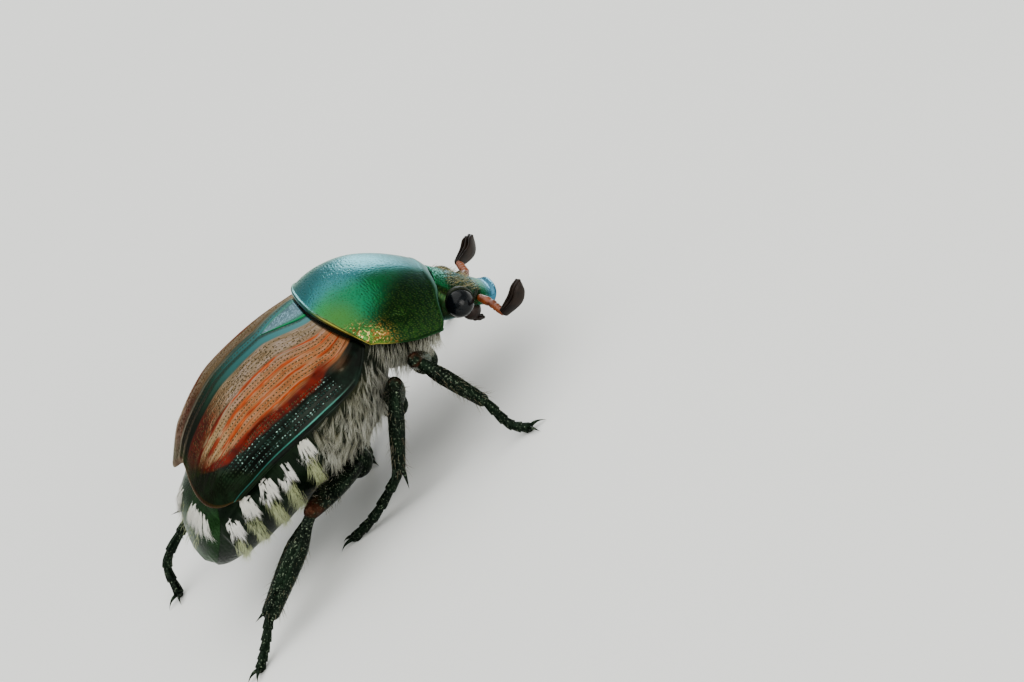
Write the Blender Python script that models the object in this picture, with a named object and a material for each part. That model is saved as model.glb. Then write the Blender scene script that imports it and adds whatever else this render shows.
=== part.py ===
# A Japanese beetle at life size, standing on its six feet on a flat floor.
# Sizes are in millimetres and MM turns them into metres.
# X runs across the body with the beetle's left side at +X, Y runs from the head (-) to the
# tail (+), and heights are measured from the body's middle plane, RIDE_HEIGHT above the floor.
import math
import random

import bmesh
import bpy
from mathutils import Vector

MM = 0.001
MERGE = 0.0002 * MM
RIDE_HEIGHT = 3.3
ORIGIN_Y = 0.545
BODY_GAP = 0.25
JOINT_GAP = 0.15
SEED = 11
RIGHT = -1
LEFT = 1

# Wing cases: outline stations are (y, value), edge stations are (share across, y)
ELYTRON_THICKNESS = 0.5
ELYTRON_TIP_THICKNESS = 0.3
ELYTRON_HALF_WIDTH = ((-1.8, 2.4), (-1.4, 2.75), (-0.9, 2.98), (0.2, 3.12), (1.6, 3.15), (2.6, 3.04),
                      (3.4, 2.8), (4.0, 2.56), (4.4, 2.36))
ELYTRON_CROWN = ((-1.8, 1.95), (-1.1, 2.08), (0.1, 2.24), (1.7, 2.2), (2.5, 1.98), (3.2, 1.68),
                 (3.7, 1.38), (4.4, 0.78))
ELYTRON_MARGIN = ((-1.8, 0.86), (-1.4, 0.6), (-0.9, 0.43), (0.3, 0.42), (2.1, 0.44), (3.0, 0.3),
                  (3.6, 0.16), (4.4, -0.2))
ELYTRON_BASE_EDGE = ((0.0, -1.1), (0.4, -1.3), (0.75, -1.6), (1.0, -1.75))
ELYTRON_END_EDGE = ((0.0, 4.0), (0.2, 4.24), (0.42, 4.33), (0.65, 4.24), (0.85, 3.95), (1.0, 3.5))
ELYTRON_COLUMNS = 24
ELYTRON_ROWS = 15
SUTURE_GAP = 0.2
ARCH_FLATNESS = 2.35
ARCH_ROUNDNESS = 1.95
RIB_COUNT = 4
RIB_HEIGHT = 0.045
RIB_SPAN = 0.62
RIM_HEIGHT = 0.07
SHOULDER_BUMP = (0.75, 0.13, 0.14)
REAR_BUMP = (0.66, 0.86, 0.15)

# Scutellum, the small shield between the wing cases
SCUTELLUM_FRONT = -1.18
SCUTELLUM_TIP = 0.08
SCUTELLUM_HALF_WIDTH = 0.66
SCUTELLUM_THICKNESS = 0.5
SCUTELLUM_BULGE = 0.05
SCUTELLUM_SINK = 0.03
SCUTELLUM_END_HALF = 0.04
SCUTELLUM_CLEARANCE = 1.2

# Pronotum
PRONOTUM_THICKNESS = 0.5
PRONOTUM_FRONT_THICKNESS = 0.25
PRONOTUM_HALF_WIDTH = ((-4.6, 1.6), (-4.2, 1.86), (-3.8, 2.16), (-3.2, 2.5), (-2.6, 2.68), (-2.0, 2.62),
                       (-1.4, 2.6))
PRONOTUM_CROWN = ((-4.6, 0.36), (-4.2, 0.98), (-3.7, 1.54), (-3.1, 1.98), (-2.4, 2.22), (-1.9, 2.26),
                  (-1.4, 2.2))
PRONOTUM_MARGIN = ((-4.6, -0.78), (-3.9, -0.42), (-3.5, -0.15), (-3.05, 0.12), (-2.4, 0.57),
                   (-2.0, 0.88), (-1.4, 1.1))
PRONOTUM_FRONT_EDGE = ((0.0, -4.5), (0.5, -4.34), (0.75, -4.08), (1.0, -3.95))
PRONOTUM_REAR_EDGE = ((0.0, -1.42), (0.3, -1.45), (0.6, -1.68), (0.85, -1.9), (1.0, -2.02))
PRONOTUM_COLUMNS = 26
PRONOTUM_ROWS = 11

# Trunk below the wing cases: the stations of each length are (y, value)
TRUNK_RINGS = 11
TRUNK_SIDES = 22
TRUNK_ROUNDNESS = 2.25
TRUNK_END_SCALE = 0.86
PROSTERNUM_SPAN = (-3.45, -2.05)
PROSTERNUM_BELLY = ((-3.6, -1.0), (-3.2, -1.05), (-2.8, -1.2), (-2.4, -1.15), (-2.0, -0.9))
PROSTERNUM_INSET = 0.6
METATHORAX_SPAN = (-1.72, 0.95)
METATHORAX_SIDE = ((-1.8, 2.0), (-1.3, 2.35), (-0.5, 2.6), (0.5, 2.74), (1.0, 2.76))
METATHORAX_BELLY = ((-1.8, -0.85), (-1.3, -1.35), (-0.9, -1.66), (0.0, -1.86), (1.0, -1.95))
ABDOMEN_SPAN = (1.2, 5.5)
ABDOMEN_SIDE = ((1.1, 2.76), (2.4, 2.76), (3.3, 2.6), (4.0, 2.27), (4.6, 1.83), (5.1, 1.3), (5.35, 0.85),
                (5.5, 0.4))
ABDOMEN_BELLY = ((1.1, -1.93), (3.4, -2.0), (4.5, -2.0), (5.0, -1.92), (5.3, -1.75), (5.5, -1.5))
ABDOMEN_TOP = ((1.1, 1.42), (2.5, 1.2), (3.3, 0.85), (3.9, 0.4), (4.3, 0.24), (4.7, 0.14), (5.0, -0.12),
               (5.25, -0.5), (5.42, -0.88), (5.5, -1.1))
ABDOMEN_WAIST = ((1.1, 0.18), (2.2, 0.18), (3.0, 0.04), (3.6, -0.1), (4.2, -0.35), (5.0, -0.8), (5.5, -1.3))
SEGMENT_LENGTH = 0.74
SEGMENT_STEP = 0.06
PYGIDIUM_CUT = (4.3, -0.1)
PYGIDIUM_SLOPE = 54.7

# Head, laid out in its face's own frame: down the face, and in behind it
FACE_TOP = (-4.6, 0.26)
FACE_SLOPE = 60.0
HEAD_LENGTH = 1.86
HEAD_START = 0.16
HEAD_HALF_WIDTH = ((0.0, 1.0), (0.4, 1.12), (1.0, 1.08), (1.3, 0.9), (1.7, 0.86), (1.9, 0.7))
HEAD_DEPTH = ((0.0, 0.95), (0.5, 1.12), (1.0, 0.9), (1.4, 0.45), (1.9, 0.22))
HEAD_BULGE = 0.1
HEAD_ROUNDNESS = 2.7
EYE_RADIUS = 0.42
EYE_CENTRE = (1.16, 0.78, 0.5)

# Mouthparts under the face, and the two palps beside them
MOUTH_DEPTH = 1.16
MOUTH_WIDTH = 0.42
MOUTH_POINTS = ((-0.3, 1.38), (0.0, 1.42), (0.3, 1.38))
PALP_WIDTH = 0.22
PALP_POINTS = ((0.34, 1.38, 1.1), (0.42, 1.54, 1.1), (0.44, 1.7, 0.98))

# Feelers: stations in the body's frame for the right side, as (distance out, y, height)
STALK_RADIUS = 0.2
NEAR_STALK = ((1.27, -5.2, -1.15), (1.6, -5.24, -1.36), (1.95, -5.28, -1.44))
NEAR_CLUB_TIP = (2.15, -6.28, -0.92)
FAR_STALK = ((1.27, -5.25, -1.2), (1.6, -5.28, -1.12), (1.98, -5.3, -1.06))
FAR_CLUB_TIP = (2.9, -6.12, -1.0)
LAMELLA_COUNT = 3
LAMELLA_HALF_WIDTH = 0.2
LAMELLA_HALF_THICKNESS = 0.12
LAMELLA_STEP = 0.15

# Legs: joint centres for each foot, as (distance out, y, height)
LEGS = {
    ("front", RIGHT): ((1.0, -2.75, -1.25), (2.95, -2.6, -0.25), (4.25, -3.24, -2.08), (4.6, -3.3, -2.85),
                       (4.95, -3.62, -3.2)),
    ("front", LEFT): ((1.0, -2.75, -1.25), (2.95, -2.75, -0.35), (4.2, -3.55, -2.15), (4.62, -3.8, -2.85),
                      (4.93, -4.2, -3.2)),
    ("middle", RIGHT): ((1.05, -1.3, -1.6), (3.0, -1.72, -0.35), (3.3, -0.14, -2.24), (2.75, 1.1, -2.9),
                        (2.25, 2.0, -3.2)),
    ("middle", LEFT): ((1.05, -1.3, -1.6), (2.95, -1.5, -0.4), (3.05, -0.35, -2.35), (1.9, 0.05, -3.0),
                       (1.0, 0.3, -3.2)),
    ("hind", RIGHT): ((1.2, 0.55, -2.0), (3.35, 2.3, -1.28), (3.85, 5.15, -2.5), (4.15, 5.8, -2.95),
                      (4.45, 6.3, -3.2)),
    ("hind", LEFT): ((1.2, 0.55, -2.0), (3.35, 2.3, -1.28), (3.6, 5.05, -1.75), (3.85, 6.45, -2.4),
                     (3.4, 6.85, -3.2)),
}
KNEE_WIDTH = 0.46
ANKLE_WIDTH = 0.46
COXA_RADIUS = {"front": 0.42, "middle": 0.42, "hind": 0.5}
FEMUR_WIDTH = {"front": 0.62, "middle": 0.66, "hind": 0.95}
FEMUR_THICKNESS = {"front": 0.52, "middle": 0.52, "hind": 0.6}
TIBIA_WIDTH = {"front": 0.5, "middle": 0.5, "hind": 0.78}
TIBIA_THICKNESS = {"front": 0.5, "middle": 0.5, "hind": 0.64}
TARSUS_RADIUS = 0.2
TARSUS_JOINTS = 5
TARSUS_SWELL = 0.12
CLAW_LENGTH = 0.5
CLAW_RADIUS = 0.085
SPINE_LENGTH = 0.34
SPINE_RADIUS = 0.085
SPUR_LENGTH = 0.5
SPINES_EACH_SIDE = {"front": 0, "middle": 3, "hind": 4}
TOOTH_LENGTH = 0.4
TOOTH_RADIUS = 0.17

# White hair tufts: stations are (y, height) on the abdomen's side and on the pygidium
TUFT_ROOTS = ((1.5, 0.02), (2.23, -0.08), (2.96, -0.1), (3.62, -0.14), (4.25, -0.45))
TAIL_TUFT_ROOTS = ((4.62, 0.68), (4.62, 1.08))
LOCKS_PER_TUFT = 5
LOCK_LENGTH = 0.66
TAIL_LOCK_LENGTH = 0.8
LOCK_WIDTH = 0.17
LOCK_THICKNESS = 0.09
LOCK_SPACING = 0.095
LOCK_LIFT = 0.26
LOCK_SINK = 0.1

COLOURS = {
    "shell_green": ((0.02, 0.2, 0.11), 0.25, 0.9),
    "case_copper": ((0.36, 0.12, 0.035), 0.3, 0.6),
    "dark_green": ((0.01, 0.035, 0.02), 0.3, 0.6),
    "eye_black": ((0.006, 0.007, 0.009), 0.1, 0.0),
    "amber": ((0.16, 0.05, 0.015), 0.35, 0.0),
}


# Value at x of a smooth curve through the stations, each (x, value)
def reading(stations, x):
    if x <= stations[0][0]:
        return stations[0][1]
    if x >= stations[-1][0]:
        return stations[-1][1]
    last = len(stations) - 1
    index = next(i for i in range(last) if x <= stations[i + 1][0])

    def slope(i):
        low = stations[max(i - 1, 0)]
        high = stations[min(i + 1, last)]
        return (high[1] - low[1]) / (high[0] - low[0])

    left = stations[index]
    right = stations[index + 1]
    step = right[0] - left[0]
    t = (x - left[0]) / step
    rise = (2 * t ** 3 - 3 * t ** 2 + 1) * left[1] + (3 * t ** 2 - 2 * t ** 3) * right[1]
    lean = (t ** 3 - 2 * t ** 2 + t) * slope(index) + (t ** 3 - t ** 2) * slope(index + 1)
    return rise + lean * step


# Point at share t of a smooth path through the given points
def path_point(points, t):
    count = len(points) - 1
    return Vector([reading([(i / count, p[axis]) for i, p in enumerate(points)], t) for axis in range(3)])


# Rounded bump of the given height, centred where both distances are zero
def bump(first, second, height):
    return height * math.exp(-first * first - second * second)


# Signed power, which keeps the sign of a cosine or a sine
def bent(value, power):
    return math.copysign(abs(value) ** power, value)


# Body frame in millimetres to the part's frame in metres
def placed(point):
    return Vector((point[0], point[1] - ORIGIN_Y, point[2] + RIDE_HEIGHT)) * MM


def material(name):
    found = bpy.data.materials.get(name)
    if found:
        return found
    colour, roughness, metallic = COLOURS[name]
    made = bpy.data.materials.new(name)
    made.use_nodes = True
    shader = made.node_tree.nodes["Principled BSDF"]
    shader.inputs["Base Color"].default_value = (*colour, 1.0)
    shader.inputs["Roughness"].default_value = roughness
    shader.inputs["Metallic"].default_value = metallic
    made.diffuse_color = (*colour, 1.0)
    return made


# Turn every face of a closed shape outwards
def face_outwards(shape):
    bmesh.ops.recalc_face_normals(shape, faces=shape.faces)
    if shape.calc_volume(signed=True) < 0.0:
        bmesh.ops.reverse_faces(shape, faces=shape.faces)


# Object from a bmesh whose points are in the body's frame
def finished(name, shape, colour):
    for vert in shape.verts:
        vert.co = placed(vert.co)
    face_outwards(shape)
    mesh = bpy.data.meshes.new(name)
    shape.to_mesh(mesh)
    shape.free()
    mesh.materials.append(material(colour))
    mesh.shade_smooth()
    thing = bpy.data.objects.new(name, mesh)
    bpy.context.scene.collection.objects.link(thing)
    return thing


# Closed shell between an outer and an inner face, each a function of (along, across)
def shell(name, outer, inner, rows, columns, colour):
    shape = bmesh.new()
    bmesh.ops.create_grid(shape, x_segments=rows, y_segments=columns, size=1.0)
    back = bmesh.ops.extrude_face_region(shape, geom=shape.faces[:])
    for item in back["geom"]:
        if isinstance(item, bmesh.types.BMVert):
            item.co.z = -1.0
    for vert in shape.verts:
        face = inner if vert.co.z < -0.5 else outer
        vert.co = face((vert.co.x + 1.0) / 2.0, (vert.co.y + 1.0) / 2.0)
    return finished(name, shape, colour)


# Closed body made of rings: ring(share, angle) gives a point, and each end closes on a tip or, without
# one, on the middle of its ring
def ringed(rings, sides, ring, tips=None):
    shape = bmesh.new()
    bmesh.ops.create_uvsphere(shape, u_segments=sides, v_segments=rings, radius=1.0)
    for vert in shape.verts:
        row = round(math.acos(max(-1.0, min(1.0, vert.co.z))) / math.pi * rings)
        angle = math.atan2(vert.co.y, vert.co.x)
        if row in (0, rings):
            end = row // rings
            vert.co = tips[end] if tips else (ring(end, 0.0) + ring(end, math.pi)) / 2.0
        else:
            vert.co = ring((row - 1) / (rings - 2), angle)
    return shape


# Limb with round ends along a path, wider than thick, with its width towards the side direction
def limb(points, width, thickness, side, sides=8, rings=10, cap_rings=2):
    body_rings = rings - 2 * cap_rings

    def heading(t):
        return (path_point(points, min(t + 0.02, 1.0)) - path_point(points, max(t - 0.02, 0.0))).normalized()

    def ring(share, angle):
        row = round(share * (rings - 2)) + 1
        t = min(max((row - cap_rings) / body_rings, 0.0), 1.0)
        beyond = max(cap_rings - row, row - rings + cap_rings, 0)
        turn = math.pi / 2.0 * beyond / cap_rings
        ahead = heading(t)
        across = (side - ahead * side.dot(ahead)).normalized()
        over = ahead.cross(across)
        half_width = width(t) / 2.0
        half_thickness = thickness(t) / 2.0
        outward = across * half_width * math.cos(angle) + over * half_thickness * math.sin(angle)
        push = math.copysign(math.sin(turn) * min(half_width, half_thickness), t - 0.5)
        return path_point(points, t) + outward * math.cos(turn) + ahead * push

    start = path_point(points, 0.0) - heading(0.0) * min(width(0.0), thickness(0.0)) / 2.0
    end = path_point(points, 1.0) + heading(1.0) * min(width(1.0), thickness(1.0)) / 2.0
    return ringed(rings, sides, ring, (start, end))


# Tapered spine or claw that bends towards the pull direction
def spike(root, direction, pull, length, radius, sides=5, rings=3, flatness=1.0):
    shape = bmesh.new()
    bmesh.ops.create_cone(shape, cap_ends=True, segments=sides, radius1=1.0, radius2=0.0, depth=1.0)
    long_edges = [e for e in shape.edges if abs(e.verts[0].co.z - e.verts[1].co.z) > 0.5]
    if rings > 1:
        bmesh.ops.subdivide_edges(shape, edges=long_edges, cuts=rings - 1)
    direction = direction.normalized()
    across = direction.cross(pull).normalized()
    over = across.cross(direction)
    for vert in shape.verts:
        t = vert.co.z + 0.5
        spread = across * vert.co.x + over * vert.co.y * flatness
        vert.co = root + direction * length * t + pull * length * t * t + spread * radius
    return shape


# Flat tapered lock of hair, widest a third of the way along and bending towards the pull direction
def lock(root, direction, flat, pull, length):
    shape = bmesh.new()
    rows = 4
    bmesh.ops.create_uvsphere(shape, u_segments=5, v_segments=rows, radius=1.0)
    direction = direction.normalized()
    over = direction.cross(flat).normalized()
    for vert in shape.verts:
        t = round(math.acos(max(-1.0, min(1.0, vert.co.z))) / math.pi * rows) / rows
        angle = math.atan2(vert.co.y, vert.co.x)
        spread = math.sin(math.pi * min(t * 0.8 + 0.16, 1.0)) if 0.0 < t < 1.0 else 0.0
        side = flat * math.cos(angle) * LOCK_WIDTH / 2.0
        rise = over * math.sin(angle) * LOCK_THICKNESS / 2.0
        vert.co = root + direction * length * t + pull * t * t + (side + rise) * spread
    return shape


# Base object fused with every shape, keeping only its largest closed surface
def fused(base, shapes, operation="UNION"):
    extras = bpy.data.collections.new(base.name + "_extras")
    bpy.context.scene.collection.children.link(extras)
    for number, shape in enumerate(shapes):
        piece = finished(base.name + "_extra_" + str(number), shape, "dark_green")
        bpy.context.scene.collection.objects.unlink(piece)
        extras.objects.link(piece)
    joining = base.modifiers.new("join", "BOOLEAN")
    joining.operation = operation
    joining.operand_type = "COLLECTION"
    joining.collection = extras
    joining.solver = "EXACT"
    graph = bpy.context.evaluated_depsgraph_get()
    joined = bpy.data.meshes.new_from_object(base.evaluated_get(graph))
    base.modifiers.clear()
    old = base.data
    base.data = joined
    bpy.data.meshes.remove(old)
    for piece in list(extras.objects):
        bpy.data.objects.remove(piece)
    bpy.data.collections.remove(extras)
    keep_largest(base)
    base.data.name = base.name
    return base


# Faces reached from one face across shared edges
def island(face, seen):
    found = []
    queue = [face]
    seen.add(face)
    while queue:
        current = queue.pop()
        found.append(current)
        for edge in current.edges:
            for other in edge.link_faces:
                if other not in seen:
                    seen.add(other)
                    queue.append(other)
    return found


def keep_largest(thing):
    shape = bmesh.new()
    shape.from_mesh(thing.data)
    bmesh.ops.remove_doubles(shape, verts=shape.verts, dist=MERGE)
    bmesh.ops.triangulate(shape, faces=shape.faces)
    bmesh.ops.dissolve_degenerate(shape, edges=shape.edges, dist=MERGE)
    flaps = [face for face in shape.faces if any(len(edge.link_faces) == 1 for edge in face.edges)]
    bmesh.ops.delete(shape, geom=flaps, context="FACES")
    seen = set()
    islands = [island(face, seen) for face in shape.faces if face not in seen]
    islands.sort(key=lambda faces: sum(face.calc_area() for face in faces))
    for faces in islands[:-1]:
        bmesh.ops.delete(shape, geom=faces, context="FACES")
    shape.to_mesh(thing.data)
    shape.free()


# Part of an object on one side of a plane, closed again with a flat face
def cut_by_plane(thing, point, normal):
    shape = bmesh.new()
    shape.from_mesh(thing.data)
    geometry = shape.verts[:] + shape.edges[:] + shape.faces[:]
    cut = bmesh.ops.bisect_plane(shape, geom=geometry, dist=1e-9, plane_co=placed(point),
                                 plane_no=normal, clear_inner=True)
    edges = [item for item in cut["geom_cut"] if isinstance(item, bmesh.types.BMEdge)]
    bmesh.ops.holes_fill(shape, edges=edges, sides=0)
    face_outwards(shape)
    shape.to_mesh(thing.data)
    shape.free()


# Half width of the scutellum at a given y
def scutellum_half(y):
    share = (y - SCUTELLUM_FRONT) / (SCUTELLUM_TIP - SCUTELLUM_FRONT)
    return SCUTELLUM_HALF_WIDTH * (1.0 - min(max(share, 0.0), 1.0) ** 1.4)


# Crown and margin arch shared by the wing cases and the pronotum
def arch(half, crown, margin, angle):
    x = half * math.sin(angle) ** (2.0 / ARCH_FLATNESS)
    z = margin + (crown - margin) * math.cos(angle) ** (2.0 / ARCH_ROUNDNESS)
    return x, z


# Relief of one wing case: rows of ribs, the rim along its margin, and two smooth bumps
def elytron_relief(along, across):
    fade = math.sin(math.pi * min(max(along, 0.0), 1.0)) ** 0.5
    wave = math.cos(2.0 * math.pi * RIB_COUNT * across / RIB_SPAN)
    ribs = RIB_HEIGHT * wave * fade if across < RIB_SPAN else 0.0
    rim = bump((1.0 - across) / 0.035, 0.0, RIM_HEIGHT)
    shoulder = bump((across - SHOULDER_BUMP[0]) / 0.12, (along - SHOULDER_BUMP[1]) / 0.07, SHOULDER_BUMP[2])
    rear = bump((across - REAR_BUMP[0]) / 0.14, (along - REAR_BUMP[1]) / 0.08, REAR_BUMP[2])
    return ribs + rim + shoulder + rear


# One face of a wing case, moved inwards by an inset or lifted by the relief
def elytron_face(side, inset, relief):
    def face(along, across):
        start = reading(ELYTRON_BASE_EDGE, across)
        y = start + (reading(ELYTRON_END_EDGE, across) - start) * along
        depth = inset(along)
        half = reading(ELYTRON_HALF_WIDTH, y) - depth
        edge = SUTURE_GAP / 2.0 + scutellum_half(y - BODY_GAP) * SCUTELLUM_CLEARANCE
        first = math.asin((edge / half) ** (ARCH_FLATNESS / 2.0))
        angle = first + (math.pi / 2.0 - first) * across
        x, z = arch(half, reading(ELYTRON_CROWN, y) - depth, reading(ELYTRON_MARGIN, y), angle)
        lift = elytron_relief(along, across) if relief else 0.0
        return Vector((side * (x + lift * math.sin(angle)), y, z + lift * math.cos(angle)))

    return face


def elytron_thickness(along):
    return ELYTRON_THICKNESS + (ELYTRON_TIP_THICKNESS - ELYTRON_THICKNESS) * along ** 4


def make_elytron(side, name):
    outer = elytron_face(side, lambda along: 0.0, True)
    inner = elytron_face(side, elytron_thickness, False)
    return shell(name, outer, inner, ELYTRON_ROWS, ELYTRON_COLUMNS, "case_copper")


def scutellum_face(depth):
    def face(along, across):
        y = SCUTELLUM_FRONT + (SCUTELLUM_TIP - SCUTELLUM_FRONT) * along
        half = max(scutellum_half(y), SCUTELLUM_END_HALF)
        q = 2.0 * across - 1.0
        bulge = SCUTELLUM_BULGE * (1.0 - q * q) * half / SCUTELLUM_HALF_WIDTH
        return Vector((q * half, y, reading(ELYTRON_CROWN, y) + bulge - SCUTELLUM_SINK - depth))

    return face


def make_scutellum():
    return shell("scutellum", scutellum_face(0.0), scutellum_face(SCUTELLUM_THICKNESS), 6, 6, "shell_green")


def pronotum_thickness(along):
    return PRONOTUM_THICKNESS - (PRONOTUM_THICKNESS - PRONOTUM_FRONT_THICKNESS) * (1.0 - along) ** 4


def pronotum_face(inset, relief):
    def face(along, across):
        depth = inset(along)
        q = 2.0 * across - 1.0
        start = reading(PRONOTUM_FRONT_EDGE, abs(q))
        y = start + (reading(PRONOTUM_REAR_EDGE, abs(q)) - start) * along
        half = reading(PRONOTUM_HALF_WIDTH, y) - depth
        crown = reading(PRONOTUM_CROWN, y) - depth
        x, z = arch(half, crown, reading(PRONOTUM_MARGIN, y), abs(q) * math.pi / 2.0)
        rim = bump((1.0 - abs(q)) / 0.03, 0.0, RIM_HEIGHT) + bump((1.0 - along) / 0.04, 0.0, RIM_HEIGHT / 2)
        return Vector((math.copysign(x + (rim if relief else 0.0), q), y, z))

    return face


def make_pronotum():
    outer = pronotum_face(lambda along: 0.0, True)
    inner = pronotum_face(pronotum_thickness, False)
    return shell("pronotum", outer, inner, PRONOTUM_ROWS, PRONOTUM_COLUMNS, "shell_green")


# Section of the trunk at y: an upper arch inside the wing cases and a wider lower half below them
def trunk_point(y, angle, top, waist, side, belly, upper, scale=1.0):
    middle = (top + belly) / 2.0
    cosine = math.cos(angle)
    sine = math.sin(angle)
    power = 2.0 / TRUNK_ROUNDNESS
    if sine > 0.001:
        x = upper * bent(cosine, power)
        z = waist + (top - waist) * sine ** power
    else:
        x = side * bent(cosine, power)
        z = waist - (waist - belly) * abs(sine) ** power
    return Vector((x * scale, y, middle + (z - middle) * scale))


# Trunk piece between two stations, from functions of y for its top, waist, side, belly and upper half width
def trunk_body(span, lengths, crowd=1.0, step=0.0):
    def ring(share, angle):
        y = span[0] + (span[1] - span[0]) * (1.0 - (1.0 - share) ** crowd)
        scale = TRUNK_END_SCALE if share in (0.0, 1.0) else 1.0
        ridge = step * ((y - span[0]) / SEGMENT_LENGTH % 1.0) if math.sin(angle) < -0.05 else 0.0
        top, waist, side, belly, upper = lengths(y)
        return trunk_point(y, angle, top, waist, side + ridge, belly - ridge, upper, scale)

    return ringed(TRUNK_RINGS + 2, TRUNK_SIDES, ring)


# Reading of a shell's outline moved inwards, further where the outline slopes
def inset_reading(stations, y, inset):
    slope = (reading(stations, y + 0.05) - reading(stations, y - 0.05)) / 0.1
    return reading(stations, y) - inset * math.sqrt(1.0 + slope * slope)


def make_prosternum():
    def lengths(y):
        inset = PRONOTUM_THICKNESS + BODY_GAP
        top = inset_reading(PRONOTUM_CROWN, y, inset)
        upper = inset_reading(PRONOTUM_HALF_WIDTH, y, inset)
        waist = reading(PRONOTUM_MARGIN, y) - BODY_GAP
        side = reading(PRONOTUM_HALF_WIDTH, y) - PROSTERNUM_INSET
        return top, waist, side, reading(PROSTERNUM_BELLY, y), upper

    body = finished("prosternum", trunk_body(PROSTERNUM_SPAN, lengths), "dark_green")
    return fused(body, leg_hollows("front"), "DIFFERENCE")


def under_cases(y):
    inset = ELYTRON_THICKNESS + BODY_GAP
    waist = reading(ELYTRON_MARGIN, y) - BODY_GAP
    return inset_reading(ELYTRON_CROWN, y, inset), waist, inset_reading(ELYTRON_HALF_WIDTH, y, inset)


def make_metathorax():
    def lengths(y):
        top, waist, upper = under_cases(y)
        return min(top, 1.36), waist, reading(METATHORAX_SIDE, y), reading(METATHORAX_BELLY, y), min(upper, 2.2)

    body = finished("metathorax", trunk_body(METATHORAX_SPAN, lengths), "dark_green")
    return fused(body, leg_hollows("middle") + leg_hollows("hind"), "DIFFERENCE")


def abdomen_lengths(y):
    waist = reading(ABDOMEN_WAIST, y)
    side = reading(ABDOMEN_SIDE, y)
    upper = min(under_cases(y)[2], side)
    return reading(ABDOMEN_TOP, y), waist, side, reading(ABDOMEN_BELLY, y), upper


def make_abdomen():
    shape = trunk_body(ABDOMEN_SPAN, abdomen_lengths, crowd=1.7, step=SEGMENT_STEP)
    return finished("abdomen", shape, "dark_green")


# Cut the tail into the abdomen in front of a sloping plane and the pygidium behind it
def part_pygidium(abdomen):
    pygidium = abdomen.copy()
    pygidium.data = abdomen.data.copy()
    pygidium.name = "pygidium"
    bpy.context.scene.collection.objects.link(pygidium)
    slope = math.radians(PYGIDIUM_SLOPE)
    normal = Vector((0.0, math.sin(slope), math.cos(slope)))
    point = Vector((0.0, *PYGIDIUM_CUT))
    cut_by_plane(abdomen, point - normal * BODY_GAP / 2.0, -normal)
    cut_by_plane(pygidium, point + normal * BODY_GAP / 2.0, normal)
    return pygidium


# Head frame: down the face, and out of the face
def face_directions():
    slope = math.radians(FACE_SLOPE)
    down = Vector((0.0, -math.cos(slope), -math.sin(slope)))
    out = Vector((0.0, -math.sin(slope), math.cos(slope)))
    return down, out


def face_point(x, along, depth):
    down, out = face_directions()
    return Vector((x, *FACE_TOP)) + down * along - out * depth


def make_head():
    def ring(share, angle):
        along = HEAD_START + (HEAD_LENGTH - HEAD_START) * (1.0 - (1.0 - share) ** 1.3)
        depth = reading(HEAD_DEPTH, along)
        half = reading(HEAD_HALF_WIDTH, along)
        power = 2.0 / HEAD_ROUNDNESS
        scale = 0.8 if share == 0.0 else 1.0
        x = half * bent(math.cos(angle), power) * scale
        inward = depth / 2.0 - (depth / 2.0 + HEAD_BULGE) * bent(math.sin(angle), power) * scale
        return face_point(x, along, inward + HEAD_BULGE)

    body = finished("head", ringed(14, 20, ring), "shell_green")
    sockets = [ball(eye_centre(side), EYE_RADIUS + JOINT_GAP) for side in (RIGHT, LEFT)]
    return fused(body, sockets, "DIFFERENCE")


def ball(centre, radius, sides=12, rings=8):
    shape = bmesh.new()
    bmesh.ops.create_uvsphere(shape, u_segments=sides, v_segments=rings, radius=radius)
    bmesh.ops.translate(shape, verts=shape.verts, vec=centre)
    return shape


def eye_centre(side):
    return face_point(side * EYE_CENTRE[0], EYE_CENTRE[1], EYE_CENTRE[2])


def make_eye(side, name):
    return finished(name, ball(eye_centre(side), EYE_RADIUS, 14, 9), "eye_black")


def make_mouthparts():
    upright = Vector((0.0, 0.0, 1.0))
    points = [face_point(x, along, MOUTH_DEPTH) for x, along in MOUTH_POINTS]
    shape = limb(points, lambda t: MOUTH_WIDTH, lambda t: MOUTH_WIDTH, upright)
    body = finished("mouthparts", shape, "amber")
    palps = []
    for side in (RIGHT, LEFT):
        palp = [face_point(side * x, along, depth) for x, along, depth in PALP_POINTS]
        palps.append(limb(palp, lambda t: PALP_WIDTH, lambda t: PALP_WIDTH, upright, 6, 8, 2))
    return fused(body, palps)


def side_point(side, point):
    return Vector((side * point[0], point[1], point[2]))


def make_antenna(side, name, stalk, club_tip):
    points = [side_point(side, p) for p in stalk]
    club_root = points[-1]
    tip = side_point(side, club_tip)
    along = (tip - club_root).normalized()
    flat = along.cross(points[-1] - points[-2]).normalized()
    over = flat.cross(along)
    width = 2.0 * STALK_RADIUS
    body = finished(name, limb(points, lambda t: width, lambda t: width, flat, 8, 8, 2), "amber")
    lamellae = []
    for number in range(LAMELLA_COUNT):
        offset = over * LAMELLA_STEP * (number - (LAMELLA_COUNT - 1) / 2.0)
        blade = (club_root + offset * 0.5 + along * 0.1, (club_root + tip) / 2.0 + offset, tip + offset - along * 0.15)
        lamellae.append(limb(blade, lambda t: 2.0 * LAMELLA_HALF_WIDTH, lambda t: 2.0 * LAMELLA_HALF_THICKNESS,
                             flat, 8, 8, 2))
    return fused(body, lamellae)


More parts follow.
